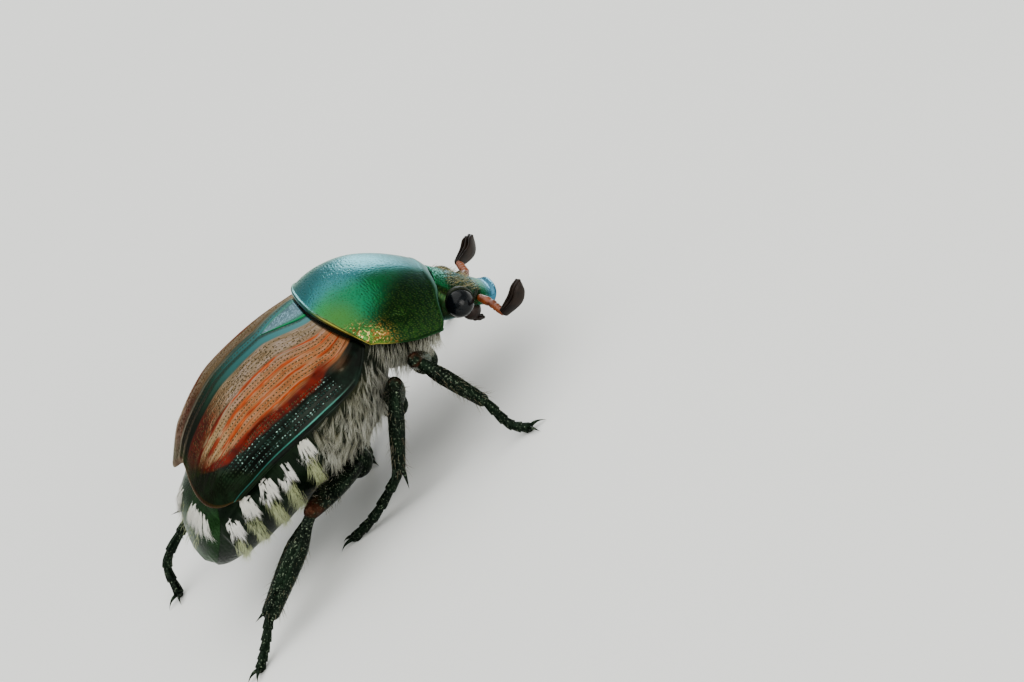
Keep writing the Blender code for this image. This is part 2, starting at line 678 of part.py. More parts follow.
# Hip ball and thigh of one leg, each grown by a margin
def femur_shapes(place, side, margin=0.0):
    hip, knee = (side_point(side, p) for p in LEGS[place, side][:2])
    ahead = (knee - hip).normalized()
    flat = ahead.cross(Vector((0.0, 1.0, 0.3))).cross(ahead)
    grow = 2.0 * margin
    width = spindle(FEMUR_WIDTH[place] + grow, FEMUR_WIDTH[place] * 0.7 + grow, KNEE_WIDTH + grow)
    thickness = spindle(FEMUR_THICKNESS[place] + grow, 0.5 + grow, KNEE_WIDTH + grow)
    thigh = limb((hip, knee), width, thickness, flat)
    return thigh, ball(hip, COXA_RADIUS[place] + margin, 10, 7)


# Hollows in which the hips and thighs of a pair of legs sit
def leg_hollows(place):
    return [shape for side in (RIGHT, LEFT) for shape in femur_shapes(place, side, BODY_GAP)]


def spindle(middle, start, end):
    return lambda t: start + (end - start) * t + (middle - (start + end) / 2.0) * math.sin(math.pi * t) ** 0.8


def make_femur(place, side, name):
    thigh, hip_ball = femur_shapes(place, side)
    return fused(finished(name, thigh, "dark_green"), [hip_ball])


def leg_bend(place, side):
    hip, knee, ankle = (side_point(side, p) for p in LEGS[place, side][:3])
    return (knee - hip).cross(ankle - knee).normalized()


def tibia_spines(place, side, start, end, half_width):
    spines = []
    ahead = (end - start).normalized()
    out = ahead.cross(leg_bend(place, side)).normalized()
    draw = random.Random(SEED + len(place) * 2 + side)
    for number in range(SPINES_EACH_SIDE[place]):
        for way in (-1.0, 1.0):
            t = (number + 1.0 + 0.3 * way + draw.uniform(-0.1, 0.1)) / (SPINES_EACH_SIDE[place] + 1.2)
            root = start.lerp(end, t) + out * way * half_width(t) * 0.55
            spines.append(spike(root, out * way + ahead * 0.9, ahead * 0.2, SPINE_LENGTH, SPINE_RADIUS, 4, 1))
    return spines


def make_tibia(place, side, name):
    hip, knee, ankle = (side_point(side, p) for p in LEGS[place, side][:3])
    ahead = (ankle - knee).normalized()
    turn = leg_bend(place, side)
    out = ahead.cross(turn).normalized()
    fold = min((hip - knee).angle(ahead), math.pi / 2.0)
    start = knee + ahead * (KNEE_WIDTH + JOINT_GAP) / math.sin(fold)
    end = ankle - ahead * ANKLE_WIDTH / 2.0
    width = TIBIA_WIDTH[place]
    profile = ((0.0, KNEE_WIDTH), (0.3, width * 0.86), (0.65, width), (1.0, width * 0.86))
    thickness = spindle(TIBIA_THICKNESS[place], KNEE_WIDTH, ANKLE_WIDTH)
    shape = limb((start, end), lambda t: reading(profile, t), thickness, out, 8, 10)
    body = finished(name, shape, "dark_green")
    extras = tibia_spines(place, side, start, end, lambda t: reading(profile, t) / 2.0)
    if place == "front":
        extras += front_teeth(start, end, out, ahead)
    else:
        extras += spurs(end, turn, ahead, out)
    return fused(body, extras)


# Two blunt teeth on the outer edge of the front tibia
def front_teeth(start, end, out, ahead):
    teeth = []
    for share, length in ((0.72, 0.8), (0.98, 1.0)):
        root = start.lerp(end, share) - out * 0.08
        teeth.append(spike(root, -out + ahead * 0.8, ahead * 0.1, TOOTH_LENGTH * length, TOOTH_RADIUS, 6, 1))
    return teeth


# Pair of long spurs at the end of a tibia
def spurs(end, turn, ahead, out):
    made = []
    for way in (-1.0, 1.0):
        root = end + turn * 0.1 * way + out * 0.1
        direction = ahead + out * 0.55 + turn * 0.35 * way
        made.append(spike(root, direction, ahead * 0.1, SPUR_LENGTH, SPINE_RADIUS * 1.1, 5, 1))
    return made


def make_tarsus(place, side, name):
    ankle, bend_point, foot = (side_point(side, p) for p in LEGS[place, side][2:])
    first = (bend_point - ankle).normalized()
    start = ankle + first * (TARSUS_RADIUS + JOINT_GAP)
    last = (foot - bend_point).normalized()
    points = (start, bend_point, foot)

    def thickness(t):
        swell = TARSUS_SWELL * abs(math.sin(math.pi * TARSUS_JOINTS * t)) ** 0.7
        return 2.0 * TARSUS_RADIUS - TARSUS_SWELL / 2.0 + swell

    shape = limb(points, thickness, thickness, Vector((0.0, 0.0, 1.0)).cross(last), 6, 14, 2)
    body = finished(name, shape, "dark_green")
    cut_by_plane(body, Vector((0.0, 0.0, -RIDE_HEIGHT)), Vector((0.0, 0.0, 1.0)))
    claws = []
    level = Vector((last.x, last.y, 0.0)).normalized()
    across = Vector((0.0, 0.0, 1.0)).cross(level)
    for way in (-1.0, 1.0):
        root = foot + across * way * 0.08 + level * 0.05 + Vector((0.0, 0.0, 0.03))
        direction = level + across * way * 0.45 + Vector((0.0, 0.0, 0.42))
        drop = Vector((0.0, 0.0, -0.55))
        claws.append(spike(root, direction, drop, CLAW_LENGTH, CLAW_RADIUS, 6, 3))
    return fused(body, claws)


# Locks of one tuft, side by side along its row, following the lie and standing off the skin
def tuft(root, lie, outward, draw, reach):
    row = lie.cross(outward).normalized()
    locks = []
    for number in range(LOCKS_PER_TUFT):
        shift = number - (LOCKS_PER_TUFT - 1) / 2.0
        lift = LOCK_LIFT + draw.uniform(-0.08, 0.08)
        base = root + row * LOCK_SPACING * shift - outward * LOCK_SINK
        direction = lie + outward * lift + row * (0.1 * shift + draw.uniform(-0.06, 0.06))
        length = reach * draw.uniform(0.85, 1.1)
        locks.append(lock(base, direction, row, outward * -0.05 - Vector((0.0, 0.0, 0.04)), length))
    return locks


# Point on the lower half of the abdomen's side
def flank_point(side, y, z):
    top, waist, half, belly, upper = abdomen_lengths(y)
    drop = min(max((waist - z) / (waist - belly), 0.0), 1.0)
    x = half * (1.0 - drop ** TRUNK_ROUNDNESS) ** (1.0 / TRUNK_ROUNDNESS)
    return Vector((side * x, y, z))


# Point on the back of the tail
def back_point(side, y, across):
    top, waist, half, belly, upper = abdomen_lengths(y)
    rise = max(1.0 - (across / upper) ** TRUNK_ROUNDNESS, 0.0) ** (1.0 / TRUNK_ROUNDNESS)
    return Vector((side * across, y, waist + (top - waist) * rise))


def side_tufts(side):
    draw = random.Random(SEED)
    locks = []
    for y, z in TUFT_ROOTS:
        root = flank_point(side, y, z)
        ahead = flank_point(side, y + 0.1, z) - root
        down = flank_point(side, y, z - 0.3) - root
        outward = (ahead.cross(down) * side).normalized()
        if outward.x * side < 0.0:
            outward = -outward
        lie = (down.normalized() + ahead.normalized() * 0.25).normalized()
        locks += tuft(root, lie, outward, draw, LOCK_LENGTH)
    return locks


def tail_tufts():
    draw = random.Random(SEED + 1)
    locks = []
    for side in (RIGHT, LEFT):
        for y, across in TAIL_TUFT_ROOTS:
            root = back_point(side, y, across)
            lie = (back_point(side, y + 0.25, across + 0.12) - root).normalized()
            aside = back_point(side, y, across + 0.1) - root
            outward = aside.cross(lie).normalized()
            if outward.z < 0.0:
                outward = -outward
            locks += tuft(root, lie, outward, draw, TAIL_LOCK_LENGTH)
    return locks


def clear_scene():
    for thing in list(bpy.data.objects):
        bpy.data.objects.remove(thing, do_unlink=True)


def build():
    clear_scene()
    make_pronotum()
    make_scutellum()
    make_prosternum()
    make_metathorax()
    abdomen = make_abdomen()
    pygidium = part_pygidium(abdomen)
    fused(abdomen, leg_hollows("hind"), "DIFFERENCE")
    fused(abdomen, side_tufts(RIGHT) + side_tufts(LEFT))
    fused(pygidium, tail_tufts())
    make_head()
    make_mouthparts()
    make_antenna(RIGHT, "antenna_right", NEAR_STALK, NEAR_CLUB_TIP)
    make_antenna(LEFT, "antenna_left", FAR_STALK, FAR_CLUB_TIP)
    for side, word in ((RIGHT, "right"), (LEFT, "left")):
        make_elytron(side, "elytron_" + word)
        make_eye(side, "eye_" + word)
        for place in ("front", "middle", "hind"):
            make_femur(place, side, "femur_" + place + "_" + word)
            make_tibia(place, side, "tibia_" + place + "_" + word)
            make_tarsus(place, side, "tarsus_" + place + "_" + word)


build()
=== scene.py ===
import math
import random

import bmesh
import bpy
import numpy as np
from mathutils import Matrix, Vector


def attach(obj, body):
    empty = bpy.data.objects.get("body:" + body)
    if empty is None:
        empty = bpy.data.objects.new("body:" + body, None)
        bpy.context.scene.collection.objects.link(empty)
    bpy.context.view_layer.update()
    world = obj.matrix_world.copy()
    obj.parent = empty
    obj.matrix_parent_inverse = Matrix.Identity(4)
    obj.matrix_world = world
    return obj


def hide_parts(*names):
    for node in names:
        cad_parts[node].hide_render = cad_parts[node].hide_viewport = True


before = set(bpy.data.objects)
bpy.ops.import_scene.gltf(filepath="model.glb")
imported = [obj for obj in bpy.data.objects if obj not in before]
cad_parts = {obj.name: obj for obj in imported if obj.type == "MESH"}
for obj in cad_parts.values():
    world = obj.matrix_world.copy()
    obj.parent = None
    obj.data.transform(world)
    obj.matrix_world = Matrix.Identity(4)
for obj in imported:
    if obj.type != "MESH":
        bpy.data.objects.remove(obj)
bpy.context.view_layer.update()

# Lengths are in millimetres in the body's own frame: the beetle's left is +x, its tail is +y,
# and heights are counted from the middle plane of the body
body = {"rideHeight": 3.3, "shiftY": 0.545, "roundness": 2.25}
sides = {"right": -1, "left": 1}


def smoothAt(stations, x):
    # smooth curve through the stations, each (place, value)
    places = np.array([s[0] for s in stations], float)
    values = np.array([s[1] for s in stations], float)
    last = len(stations) - 1
    low = np.maximum(np.arange(last + 1) - 1, 0)
    high = np.minimum(np.arange(last + 1) + 1, last)
    slopes = (values[high] - values[low]) / (places[high] - places[low])
    x = np.clip(np.asarray(x, float), places[0], places[-1])
    i = np.clip(np.searchsorted(places, x, side="right") - 1, 0, last - 1)
    step = places[i + 1] - places[i]
    t = (x - places[i]) / step
    rise = (2 * t ** 3 - 3 * t ** 2 + 1) * values[i] + (3 * t ** 2 - 2 * t ** 3) * values[i + 1]
    return rise + ((t ** 3 - 2 * t ** 2 + t) * slopes[i] + (t ** 3 - t ** 2) * slopes[i + 1]) * step


def stacked(*axes):
    return np.stack(axes, axis=-1)


def pathAt(points, t):
    count = len(points) - 1
    return stacked(*(smoothAt([(i / count, p[axis]) for i, p in enumerate(points)], t) for axis in range(3)))


def bentPower(value, power):
    return np.sign(value) * np.abs(value) ** power


def bumpAt(first, second, height):
    return height * np.exp(-first * first - second * second)


def stepUp(value, low, high):
    t = np.clip((value - low) / (high - low), 0.0, 1.0)
    return t * t * (3 - 2 * t)


def unit(vectors):
    length = np.linalg.norm(vectors, axis=-1, keepdims=True)
    return vectors / np.maximum(length, 1e-12)


def hashed(a, b, seed):
    wave = np.sin(a * 127.1 + b * 311.7 + seed * 74.7) * 43758.5453
    return wave - np.floor(wave)


def pitted(u, v, cell, radius, seed, share=1.0):
    # depth 0..1 of round pits strewn one to a cell over the plane (u, v)
    column = np.floor(u / cell)
    row = np.floor(v / cell)
    depth = np.zeros_like(u)
    for di in (-1, 0, 1):
        for dj in (-1, 0, 1):
            a = column + di
            b = row + dj
            there = hashed(a, b, seed + 2) < share
            du = u - (a + 0.15 + 0.7 * hashed(a, b, seed)) * cell
            dv = v - (b + 0.15 + 0.7 * hashed(a, b, seed + 1)) * cell
            size = radius * (0.75 + 0.5 * hashed(a, b, seed + 3))
            depth = np.maximum(depth, there * np.exp(-((du * du + dv * dv) / (size * size)) ** 1.5))
    return depth


def wavy(u, v, cell, seed):
    # smooth noise from -1 to 1
    column = np.floor(u / cell)
    row = np.floor(v / cell)
    s = stepUp(u / cell - column, 0.0, 1.0)
    t = stepUp(v / cell - row, 0.0, 1.0)
    low = hashed(column, row, seed) * (1 - s) + hashed(column + 1, row, seed) * s
    high = hashed(column, row + 1, seed) * (1 - s) + hashed(column + 1, row + 1, seed) * s
    return 2 * (low * (1 - t) + high * t) - 1


def toFrame(points):
    shifted = np.array(points, float)
    shifted[..., 1] -= body["shiftY"]
    shifted[..., 2] += body["rideHeight"]
    return shifted * 0.001


def meshPoints(mesh):
    points = np.empty(len(mesh.vertices) * 3)
    mesh.vertices.foreach_get("co", points)
    return points.reshape(-1, 3)


def setPoints(mesh, points):
    mesh.vertices.foreach_set("co", np.ascontiguousarray(points, float).ravel())
    mesh.update()


def mark(mesh, name, values):
    # keeps one number for each vertex, for the finishes to read
    layer = mesh.attributes.new(name, "FLOAT", "POINT")
    layer.data.foreach_set("value", np.ascontiguousarray(values, np.float32))


def mapVertices(mesh, name, u, v):
    corners = np.empty(len(mesh.loops), int)
    mesh.loops.foreach_get("vertex_index", corners)
    layer = mesh.uv_layers.new(name=name)
    layer.data.foreach_set("uv", stacked(u[corners], v[corners]).ravel())


def opened(*meshes):
    shape = bmesh.new()
    for mesh in meshes:
        shape.from_mesh(mesh)
    return shape


def closed(shape, mesh):
    shape.to_mesh(mesh)
    shape.free()
    return mesh


def meshOf(name, shape):
    return closed(shape, bpy.data.meshes.new(name))


def shaped(mesh, points, marks):
    setPoints(mesh, toFrame(points))
    for key, values in marks.items():
        mark(mesh, key, values)
    return mesh


def placed(name, data):
    thing = bpy.data.objects.new(name, data)
    bpy.context.scene.collection.objects.link(thing)
    return thing


def settle(name, mesh, finish, slotName, *replaced, turnOut=True):
    # makes the finished piece: faces outwards, smooth shading, its finish and its body
    if turnOut:
        shape = opened(mesh)
        bmesh.ops.recalc_face_normals(shape, faces=shape.faces)
        closed(shape, mesh)
    mesh.materials.clear()
    mesh.materials.append(finishes[finish])
    mesh.shade_smooth()
    piece = placed(name, mesh)
    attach(piece, "root")
    if replaced:
        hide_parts(*replaced)


class Wire:
    # an output socket that can be added, taken away and multiplied
    def __init__(self, kit, socket):
        self.kit = kit
        self.socket = socket

    def maths(self, operation, first, second):
        return self.kit.add("Math", {"operation": operation}, {0: first, 1: second})

    def __add__(self, other):
        return self.maths("ADD", self, other)

    def __radd__(self, other):
        return self.maths("ADD", other, self)

    def __sub__(self, other):
        return self.maths("SUBTRACT", self, other)

    def __rsub__(self, other):
        return self.maths("SUBTRACT", other, self)

    def __mul__(self, other):
        return self.maths("MULTIPLY", self, other)

    def stepped(self, low, high):
        settings = {"interpolation_type": "SMOOTHSTEP"}
        return self.kit.add("MapRange", settings, {0: self, 1: low, 2: high, 3: 0.0, 4: 1.0})


class Finish:
    # one material and the nodes that make it
    def __init__(self, name, **constants):
        self.material = bpy.data.materials.new(name)
        self.material.use_nodes = True
        self.tree = self.material.node_tree
        self.shader = self.tree.nodes["Principled BSDF"]
        for socket, value in constants.items():
            self.put(self.shader.inputs[socket.replace("_", " ")], value)

    def put(self, socket, value):
        if isinstance(value, Wire):
            self.tree.links.new(value.socket, socket)
        elif isinstance(value, tuple) and len(value) == 3 and socket.type == "RGBA":
            socket.default_value = (*value, 1.0)
        else:
            socket.default_value = value

    def add(self, kind, settings=None, values=None, output=0):
        # any node: its settings first, then the values or links of its sockets
        node = self.tree.nodes.new("ShaderNode" + kind)
        for key, value in (settings or {}).items():
            if key == "stops":
                ramp = node.color_ramp
                ramp.elements[0].position = value[0][0]
                ramp.elements[1].position = value[-1][0]
                for place, _ in value[1:-1]:
                    ramp.elements.new(place)
                for element, (_, colour) in zip(ramp.elements, value):
                    element.color = (*colour, 1.0)
            else:
                setattr(node, key, value)
        for key, value in (values or {}).items():
            self.put(node.inputs[key], value)
        return Wire(self, node.outputs[output])

    def attribute(self, name):
        return self.add("Attribute", {"attribute_name": name}, output="Fac")

    def attributes(self, *names):
        return [self.attribute(name) for name in names]

    def places(self):
        return self.add("TexCoord", output="Object")

    def noise(self, scale, detail=3.0, roughness=0.55, vector=None):
        values = {"Vector": vector or self.places(), "Scale": scale, "Detail": detail, "Roughness": roughness}
        return self.add("TexNoise", None, values)

    def cells(self, scale):
        return self.add("TexVoronoi", {"feature": "F1"}, {"Vector": self.places(), "Scale": scale})

    def blend(self, factor, first, second):
        values = {0: factor, 6: first, 7: second}
        return self.add("Mix", {"data_type": "RGBA"}, values, output=2)

    def painted(self, colour, *coats):
        # paints laid over the colour one after another, each as far as its mask goes
        for mask, paint in coats:
            colour = self.blend(mask, colour, paint)
        return colour

    def tint(self, value, stops):
        return self.add("ValToRGB", {"stops": stops}, {0: value})

    def show(self, **sockets):
        for socket, value in sockets.items():
            self.put(self.shader.inputs[socket.replace("_", " ")], value)

    def bump(self, height, distance, strength=1.0):
        values = {"Height": height, "Distance": distance, "Strength": strength}
        self.put(self.shader.inputs["Normal"], self.add("Bump", None, values))


def caseFinish():
    # coppery wing case: green along the suture, pitted pale bands between red ribs, black-green flank; the bands'
    # pale tone is partly painted sheen, and painted glints and highlights sit on the pit rims, the flank pits, the
    # shoulder and the outer rim
    kit = Finish("caseCopper", Metallic=0.8, Specular_IOR_Level=0.25, Specular_Tint=(0.5, 0.38, 0.2),
                 Coat_Weight=0.06, Coat_Roughness=0.1)
    along, across, pit, rib, warm, deep = kit.attributes("along", "across", "pit", "rib", "warm", "deep")
    flank, suture, rear, tail, edge = kit.attributes("flank", "suture", "rear", "tail", "edge")
    cloud = kit.noise(2600.0, 3.0)
    speck = kit.noise(11000.0, 2.0)
    streaks = kit.noise(1.0, 4.0, 0.65, kit.add("CombineXYZ", None, {0: across * 60.0, 1: along * 8.0}))

    def streaked(*tints):
        return kit.tint(streaks, list(zip((0.32, 0.5, 0.66), tints)))

    # beige and salmon: the coppery tone of the bands, lightened in part by painted sky sheen
    beige = streaked((0.08, 0.05, 0.024), (0.16, 0.12, 0.08), (0.22, 0.17, 0.15))
    salmon = streaked((0.13, 0.035, 0.01), (0.2, 0.075, 0.025), (0.27, 0.13, 0.075))
    pale = streaked((0.15, 0.07, 0.02), (0.22, 0.16, 0.08), (0.34, 0.28, 0.17))
    copper = streaked((0.12, 0.013, 0.003), (0.24, 0.034, 0.005), (0.34, 0.08, 0.012))
    copper = kit.blend(rear, copper, (0.13, 0.013, 0.004))
    red = kit.blend(cloud.stepped(0.3, 0.7), (0.1, 0.006, 0.002), (0.035, 0.003, 0.002))
    black = kit.blend(cloud.stepped(0.4, 0.7), (0.003, 0.005, 0.004), (0.005, 0.013, 0.009))
    green = kit.tint(along, [(0.0, (0.045, 0.14, 0.15)), (0.35, (0.012, 0.09, 0.1)),
                             (0.62, (0.004, 0.035, 0.028)), (0.8, (0.002, 0.009, 0.005))])
    leaf = kit.blend(cloud.stepped(0.4, 0.65), (0.006, 0.02, 0.004), (0.01, 0.035, 0.007))
    # painted glints: a light tan ring on the rim of each pit
    paintedPitGlint = pit.stepped(0.02, 0.1) * (1.0 - pit.stepped(0.12, 0.35))
    paintedPitGlint = paintedPitGlint * (1.0 - flank) * (1.0 - deep * 0.75) * (1.0 - suture)
    # painted glints: some flank pits bright teal-white, the rest dark
    flankPitGlints = kit.blend(speck.stepped(0.52, 0.66), (0.008, 0.03, 0.024), (0.26, 0.42, 0.36))
    hole = kit.painted((0.035, 0.026, 0.01), (flank * (1.0 - tail), flankPitGlints), (tail, (0.006, 0.018, 0.006)))
    colour = kit.painted(
        kit.painted(beige, (warm, salmon), (rear * 0.85, pale)),
        ((rib + (0.5 - streaks) * 1.6).stepped(0.3, 0.75), copper), (deep, red), (flank, black), (suture, green),
        (tail, kit.blend(flank * 0.7, leaf, black)), (along.stepped(0.994, 0.999), (0.035, 0.022, 0.006)),
        (edge, (0.03, 0.15, 0.12)), (paintedPitGlint * speck.stepped(0.45, 0.6) * 0.5, (0.4, 0.28, 0.15)),
        (pit.stepped(0.12, 0.6) * 0.9, hole))
    kit.show(Base_Color=colour, Roughness=0.26 + cloud * 0.14 + pit * 0.15)
    kit.bump(kit.noise(26000.0, 2.0), 0.000004, 0.5)
    return kit.material


def shieldFinish(name, sheenColour, olive, copper, patch):
    # emerald shell, densely pitted, going olive towards the front and the flanks as painted shade, and copper-flecked
    # there
    kit = Finish(name, Metallic=0.95, Specular_Tint=(0.7, 0.95, 1.0), Coat_Weight=0.06, Coat_Roughness=0.08)
    dark, pit, rim, warm, crest, gilt = kit.attributes("shadow", "pit", "rim", "warm", "crest", "gilt")
    blotch = kit.noise(700.0, 3.0)
    fleck = kit.noise(9000.0, 2.0)
    emerald = kit.blend(blotch.stepped(0.35, 0.65), (0.006, 0.15, 0.04), (0.004, 0.12, 0.05))
    # painted sheen: the sheen colour laid along the midline, where the shell would mirror the light
    emerald = kit.blend((crest + (blotch - 0.5) * 0.4).stepped(0.2, 0.9), emerald, sheenColour)
    low = kit.blend(fleck.stepped(0.45, 0.65), (0.005, 0.022, 0.004), olive)
    shade = (dark + (blotch - 0.5) * 0.3).stepped(0.15, 0.85)
    hole = kit.blend(shade, (0.004, 0.06, 0.015), kit.blend(warm, (0.035, 0.07, 0.01), (0.2, 0.09, 0.015)))
    # painted glints: gold specks; below also a painted green-gold sheen and a painted gold highlight on the rim
    goldGlintSpots = kit.noise(15000.0, 1.0).stepped(0.6, 0.66)
    colour = kit.painted(
        emerald, (shade, low), (pit.stepped(0.2, 0.8) * 0.8, hole), (gilt * 0.6, (0.05, 0.13, 0.012)),
        (warm * fleck.stepped(*patch), copper), (warm * gilt * goldGlintSpots, (0.5, 0.36, 0.12)),
        (rim * 0.8, kit.blend(gilt, (0.01, 0.045, 0.01), (0.24, 0.2, 0.03))))
    kit.show(Base_Color=colour, Roughness=0.24 + fleck * 0.1 + dark * 0.06)
    kit.bump(kit.noise(30000.0, 2.0), 0.000003, 0.4)
    return kit.material


def darkFinish(name, first, second, roughness, metal, gleam=None):
    # green-black shell with a fine grain and small painted glints
    kit = Finish(name, Metallic=metal, IOR=1.3, Specular_Tint=(0.3, 0.4, 0.3))
    blotch = kit.noise(1500.0, 4.0)
    grain = kit.noise(12000.0, 3.0)
    colour = kit.blend(blotch.stepped(0.35, 0.68), first, second)
    # gleam: colour of the painted glints
    if gleam:
        knee = kit.attribute("knee") * blotch.stepped(0.48, 0.62) * 0.8
        colour = kit.painted(colour, (kit.noise(19000.0, 2.0).stepped(0.6, 0.68), gleam),
                             (knee, (0.04, 0.009, 0.004)))
    kit.show(Base_Color=colour, Roughness=roughness + grain * 0.2)
    kit.bump(kit.cells(9000.0) * 0.7 + grain * 0.3, 0.000014 if gleam else 0.000007, 0.6)
    return kit.material


def eyeFinish():
    # black eye with a fine net of facets
    kit = Finish("eyeBlack", IOR=1.25, Roughness=0.2, Coat_Weight=0.05, Coat_Roughness=0.1)
    cells = kit.cells(32000.0)
    kit.show(Base_Color=kit.blend(cells.stepped(0.2, 0.7), (0.004, 0.006, 0.008), (0.001, 0.0015, 0.002)))
    kit.bump(1.0 - cells, 0.000006, 0.4)
    return kit.material


def hairFinish(name, root, tip, other):
    # hair from its root colour to its tip colour, some hairs towards another tint
    kit = Finish(name, Roughness=0.45, Specular_IOR_Level=0.4, Sheen_Weight=0.2)
    strand, shade = kit.attributes("strand", "shade")
    kit.show(Base_Color=kit.painted(root, (strand.stepped(0.0, 0.8), tip), (shade * 0.6, other)))
    return kit.material


def plainFinish(name, first, second, roughness, **constants):
    # clear brown shell of the feelers and the mouth, a little blotched
    kit = Finish(name, Roughness=roughness, **constants)
    blotch = kit.noise(2500.0, 4.0)
    kit.show(Base_Color=kit.blend(blotch.stepped(0.35, 0.65), first, second), Roughness=roughness + blotch * 0.12)
    kit.bump(kit.noise(15000.0, 2.0), 0.000006, 0.6)
    return kit.material


finishes = {
    "case": caseFinish(),
    "shield": shieldFinish("shieldGreen", (0.012, 0.13, 0.14), (0.01, 0.042, 0.005), (0.14, 0.05, 0.01),
                           (0.52, 0.68)),
    # the scutellum's pale lilac-teal is painted sheen
    "shieldlet": shieldFinish("shieldletTeal", (0.12, 0.2, 0.24), (0.03, 0.2, 0.2), (0.1, 0.3, 0.3), (0.4, 0.6)),
    # the face's fourth colour, blue-teal on the clypeus, is painted sheen
    "face": shieldFinish("faceGreen", (0.02, 0.1, 0.12), (0.012, 0.02, 0.005), (0.04, 0.16, 0.25), (0.2, 0.4)),
    "belly": darkFinish("bellyDark", (0.002, 0.005, 0.0025), (0.004, 0.01, 0.004), 0.2, 0.3),
    "tail": darkFinish("tailGreen", (0.004, 0.016, 0.005), (0.008, 0.032, 0.007), 0.18, 0.5),
    "thorax": darkFinish("thoraxDark", (0.006, 0.008, 0.005), (0.02, 0.022, 0.01), 0.35, 0.2),
    "leg": darkFinish("legDark", (0.003, 0.005, 0.0035), (0.005, 0.012, 0.006), 0.16, 0.6, (0.12, 0.15, 0.1)),
    "eye": eyeFinish(),
    "amber": plainFinish("feelerAmber", (0.2, 0.045, 0.007), (0.08, 0.016, 0.004), 0.3),
    "mouth": plainFinish("mouthBrown", (0.016, 0.006, 0.003), (0.007, 0.003, 0.002), 0.35, IOR=1.3),
    "club": plainFinish("clubBrown", (0.005, 0.003, 0.002), (0.014, 0.008, 0.005), 0.3, IOR=1.25),
    "white": hairFinish("tuftWhite", (0.8, 0.79, 0.74), (0.97, 0.96, 0.93), (0.85, 0.84, 0.72)),
    "fringe": hairFinish("fringePale", (0.25, 0.27, 0.1), (0.66, 0.74, 0.4), (0.45, 0.48, 0.22)),
    "down": hairFinish("downGrey", (0.03, 0.03, 0.016), (0.7, 0.7, 0.6), (0.16, 0.15, 0.06)),
    "bristle": hairFinish("legBristle", (0.05, 0.04, 0.02), (0.22, 0.2, 0.1), (0.1, 0.06, 0.03)),
    "gold": hairFinish("faceGold", (0.12, 0.1, 0.02), (0.4, 0.36, 0.12), (0.25, 0.2, 0.05)),
}
print("finishes made")

# Shells: each is one grid whose outermost rows roll round the rim to the inner side, closed by a hidden lid
roll = {"share": 0.03, "radius": 0.07, "run": 0.03}


def rolled(value, length):
    # place along the face for a grid value beyond 0 or 1, and the depth below the face there
    beyond = np.maximum(np.maximum(-value, value - 1.0), 0.0) / roll["share"]
    turn = np.clip(beyond / 0.6, 0.0, 1.0) * math.pi
    reach = roll["radius"] * np.sin(turn) / length - roll["run"] * np.clip((beyond - 0.6) / 0.4, 0.0, 1.0)
    place = np.clip(value, 0.0, 1.0) + np.where(value > 0.5, reach, -reach)
    return place, roll["radius"] * (1 - np.cos(turn))


def shellMesh(name, rows, columns, surface, lengths, lidCentre):
    shape = bmesh.new()
    bmesh.ops.create_grid(shape, x_segments=rows, y_segments=columns, size=1.0)
    rim = [edge for edge in shape.edges if edge.is_boundary]
    lid = bmesh.ops.holes_fill(shape, edges=rim, sides=0)["faces"]
    bmesh.ops.poke(shape, faces=lid)
    mesh = meshOf(name, shape)
    spread = 1 + 2 * roll["share"]
    flat = meshPoints(mesh)
    s, depthS = rolled((flat[:, 0] + 1) / 2 * spread - roll["share"], lengths[0])
    t, depthT = rolled((flat[:, 1] + 1) / 2 * spread - roll["share"], lengths[1])
    points, marks = surface(s, t, np.maximum(depthS, depthT))
    points[-1] = lidCentre
    return shaped(mesh, points, marks)


case = {
    "halfWidth": ((-1.9, 2.4), (-1.4, 2.75), (-0.9, 2.98), (0.2, 3.12), (1.6, 3.15), (2.6, 3.04), (3.4, 2.8),
                  (4.0, 2.56), (4.4, 2.36)),
    "crown": ((-1.8, 1.95), (-1.1, 2.08), (0.1, 2.24), (1.7, 2.2), (2.5, 1.98), (3.2, 1.68), (3.7, 1.38),
              (4.4, 0.78)),
    "margin": ((-1.8, 0.86), (-1.4, 0.6), (-0.9, 0.43), (0.3, 0.42), (2.1, 0.44), (3.0, 0.3), (3.6, 0.16),
               (4.4, -0.2)),
    "baseEdge": ((0.0, -1.18), (0.2, -1.28), (0.4, -1.41), (0.6, -1.56), (0.75, -1.68), (1.0, -1.8)),
    "endEdge": ((0.0, 4.0), (0.2, 4.24), (0.42, 4.33), (0.65, 4.24), (0.85, 3.95), (1.0, 3.5)),
    "flatness": 2.35, "round": 1.95, "sutureGap": 0.05, "clearance": 1.08,
    "sutureBand": 0.085, "ribs": (0.285, 0.385, 0.49, 0.6), "ribWidth": 0.018, "ribHeight": 0.02,
    "flankEdge": ((0.0, 0.66), (0.14, 0.64), (0.3, 0.73), (0.5, 0.71), (0.7, 0.66), (0.85, 0.56), (0.93, 0.35),
                  (1.0, 0.2)),
    "outerRows": (0.64, 0.665, 0.7, 0.735, 0.785, 0.81, 0.865, 0.89),
    "rimHeight": 0.07, "shoulder": (0.73, 0.12, 0.19), "rear": (0.66, 0.86, 0.15),
    "arc": 4.6, "length": 5.5, "pitGap": 0.105, "pitRadius": 0.029, "pitDepth": 0.016,
    "grid": ((365, 268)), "lid": (1.3, 1.6, 1.4),
}
shieldlet = {"front": -1.2, "tip": 0.1, "half": 0.68, "size": (1.2, 1.2), "grid": (120, 120), "lid": (0.0, -0.8, 1.5)}


def shieldletHalf(y):
    share = np.clip((y - shieldlet["front"]) / (shieldlet["tip"] - shieldlet["front"]), 0.0, 1.0)
    return shieldlet["half"] * (1 - share ** 1.4)


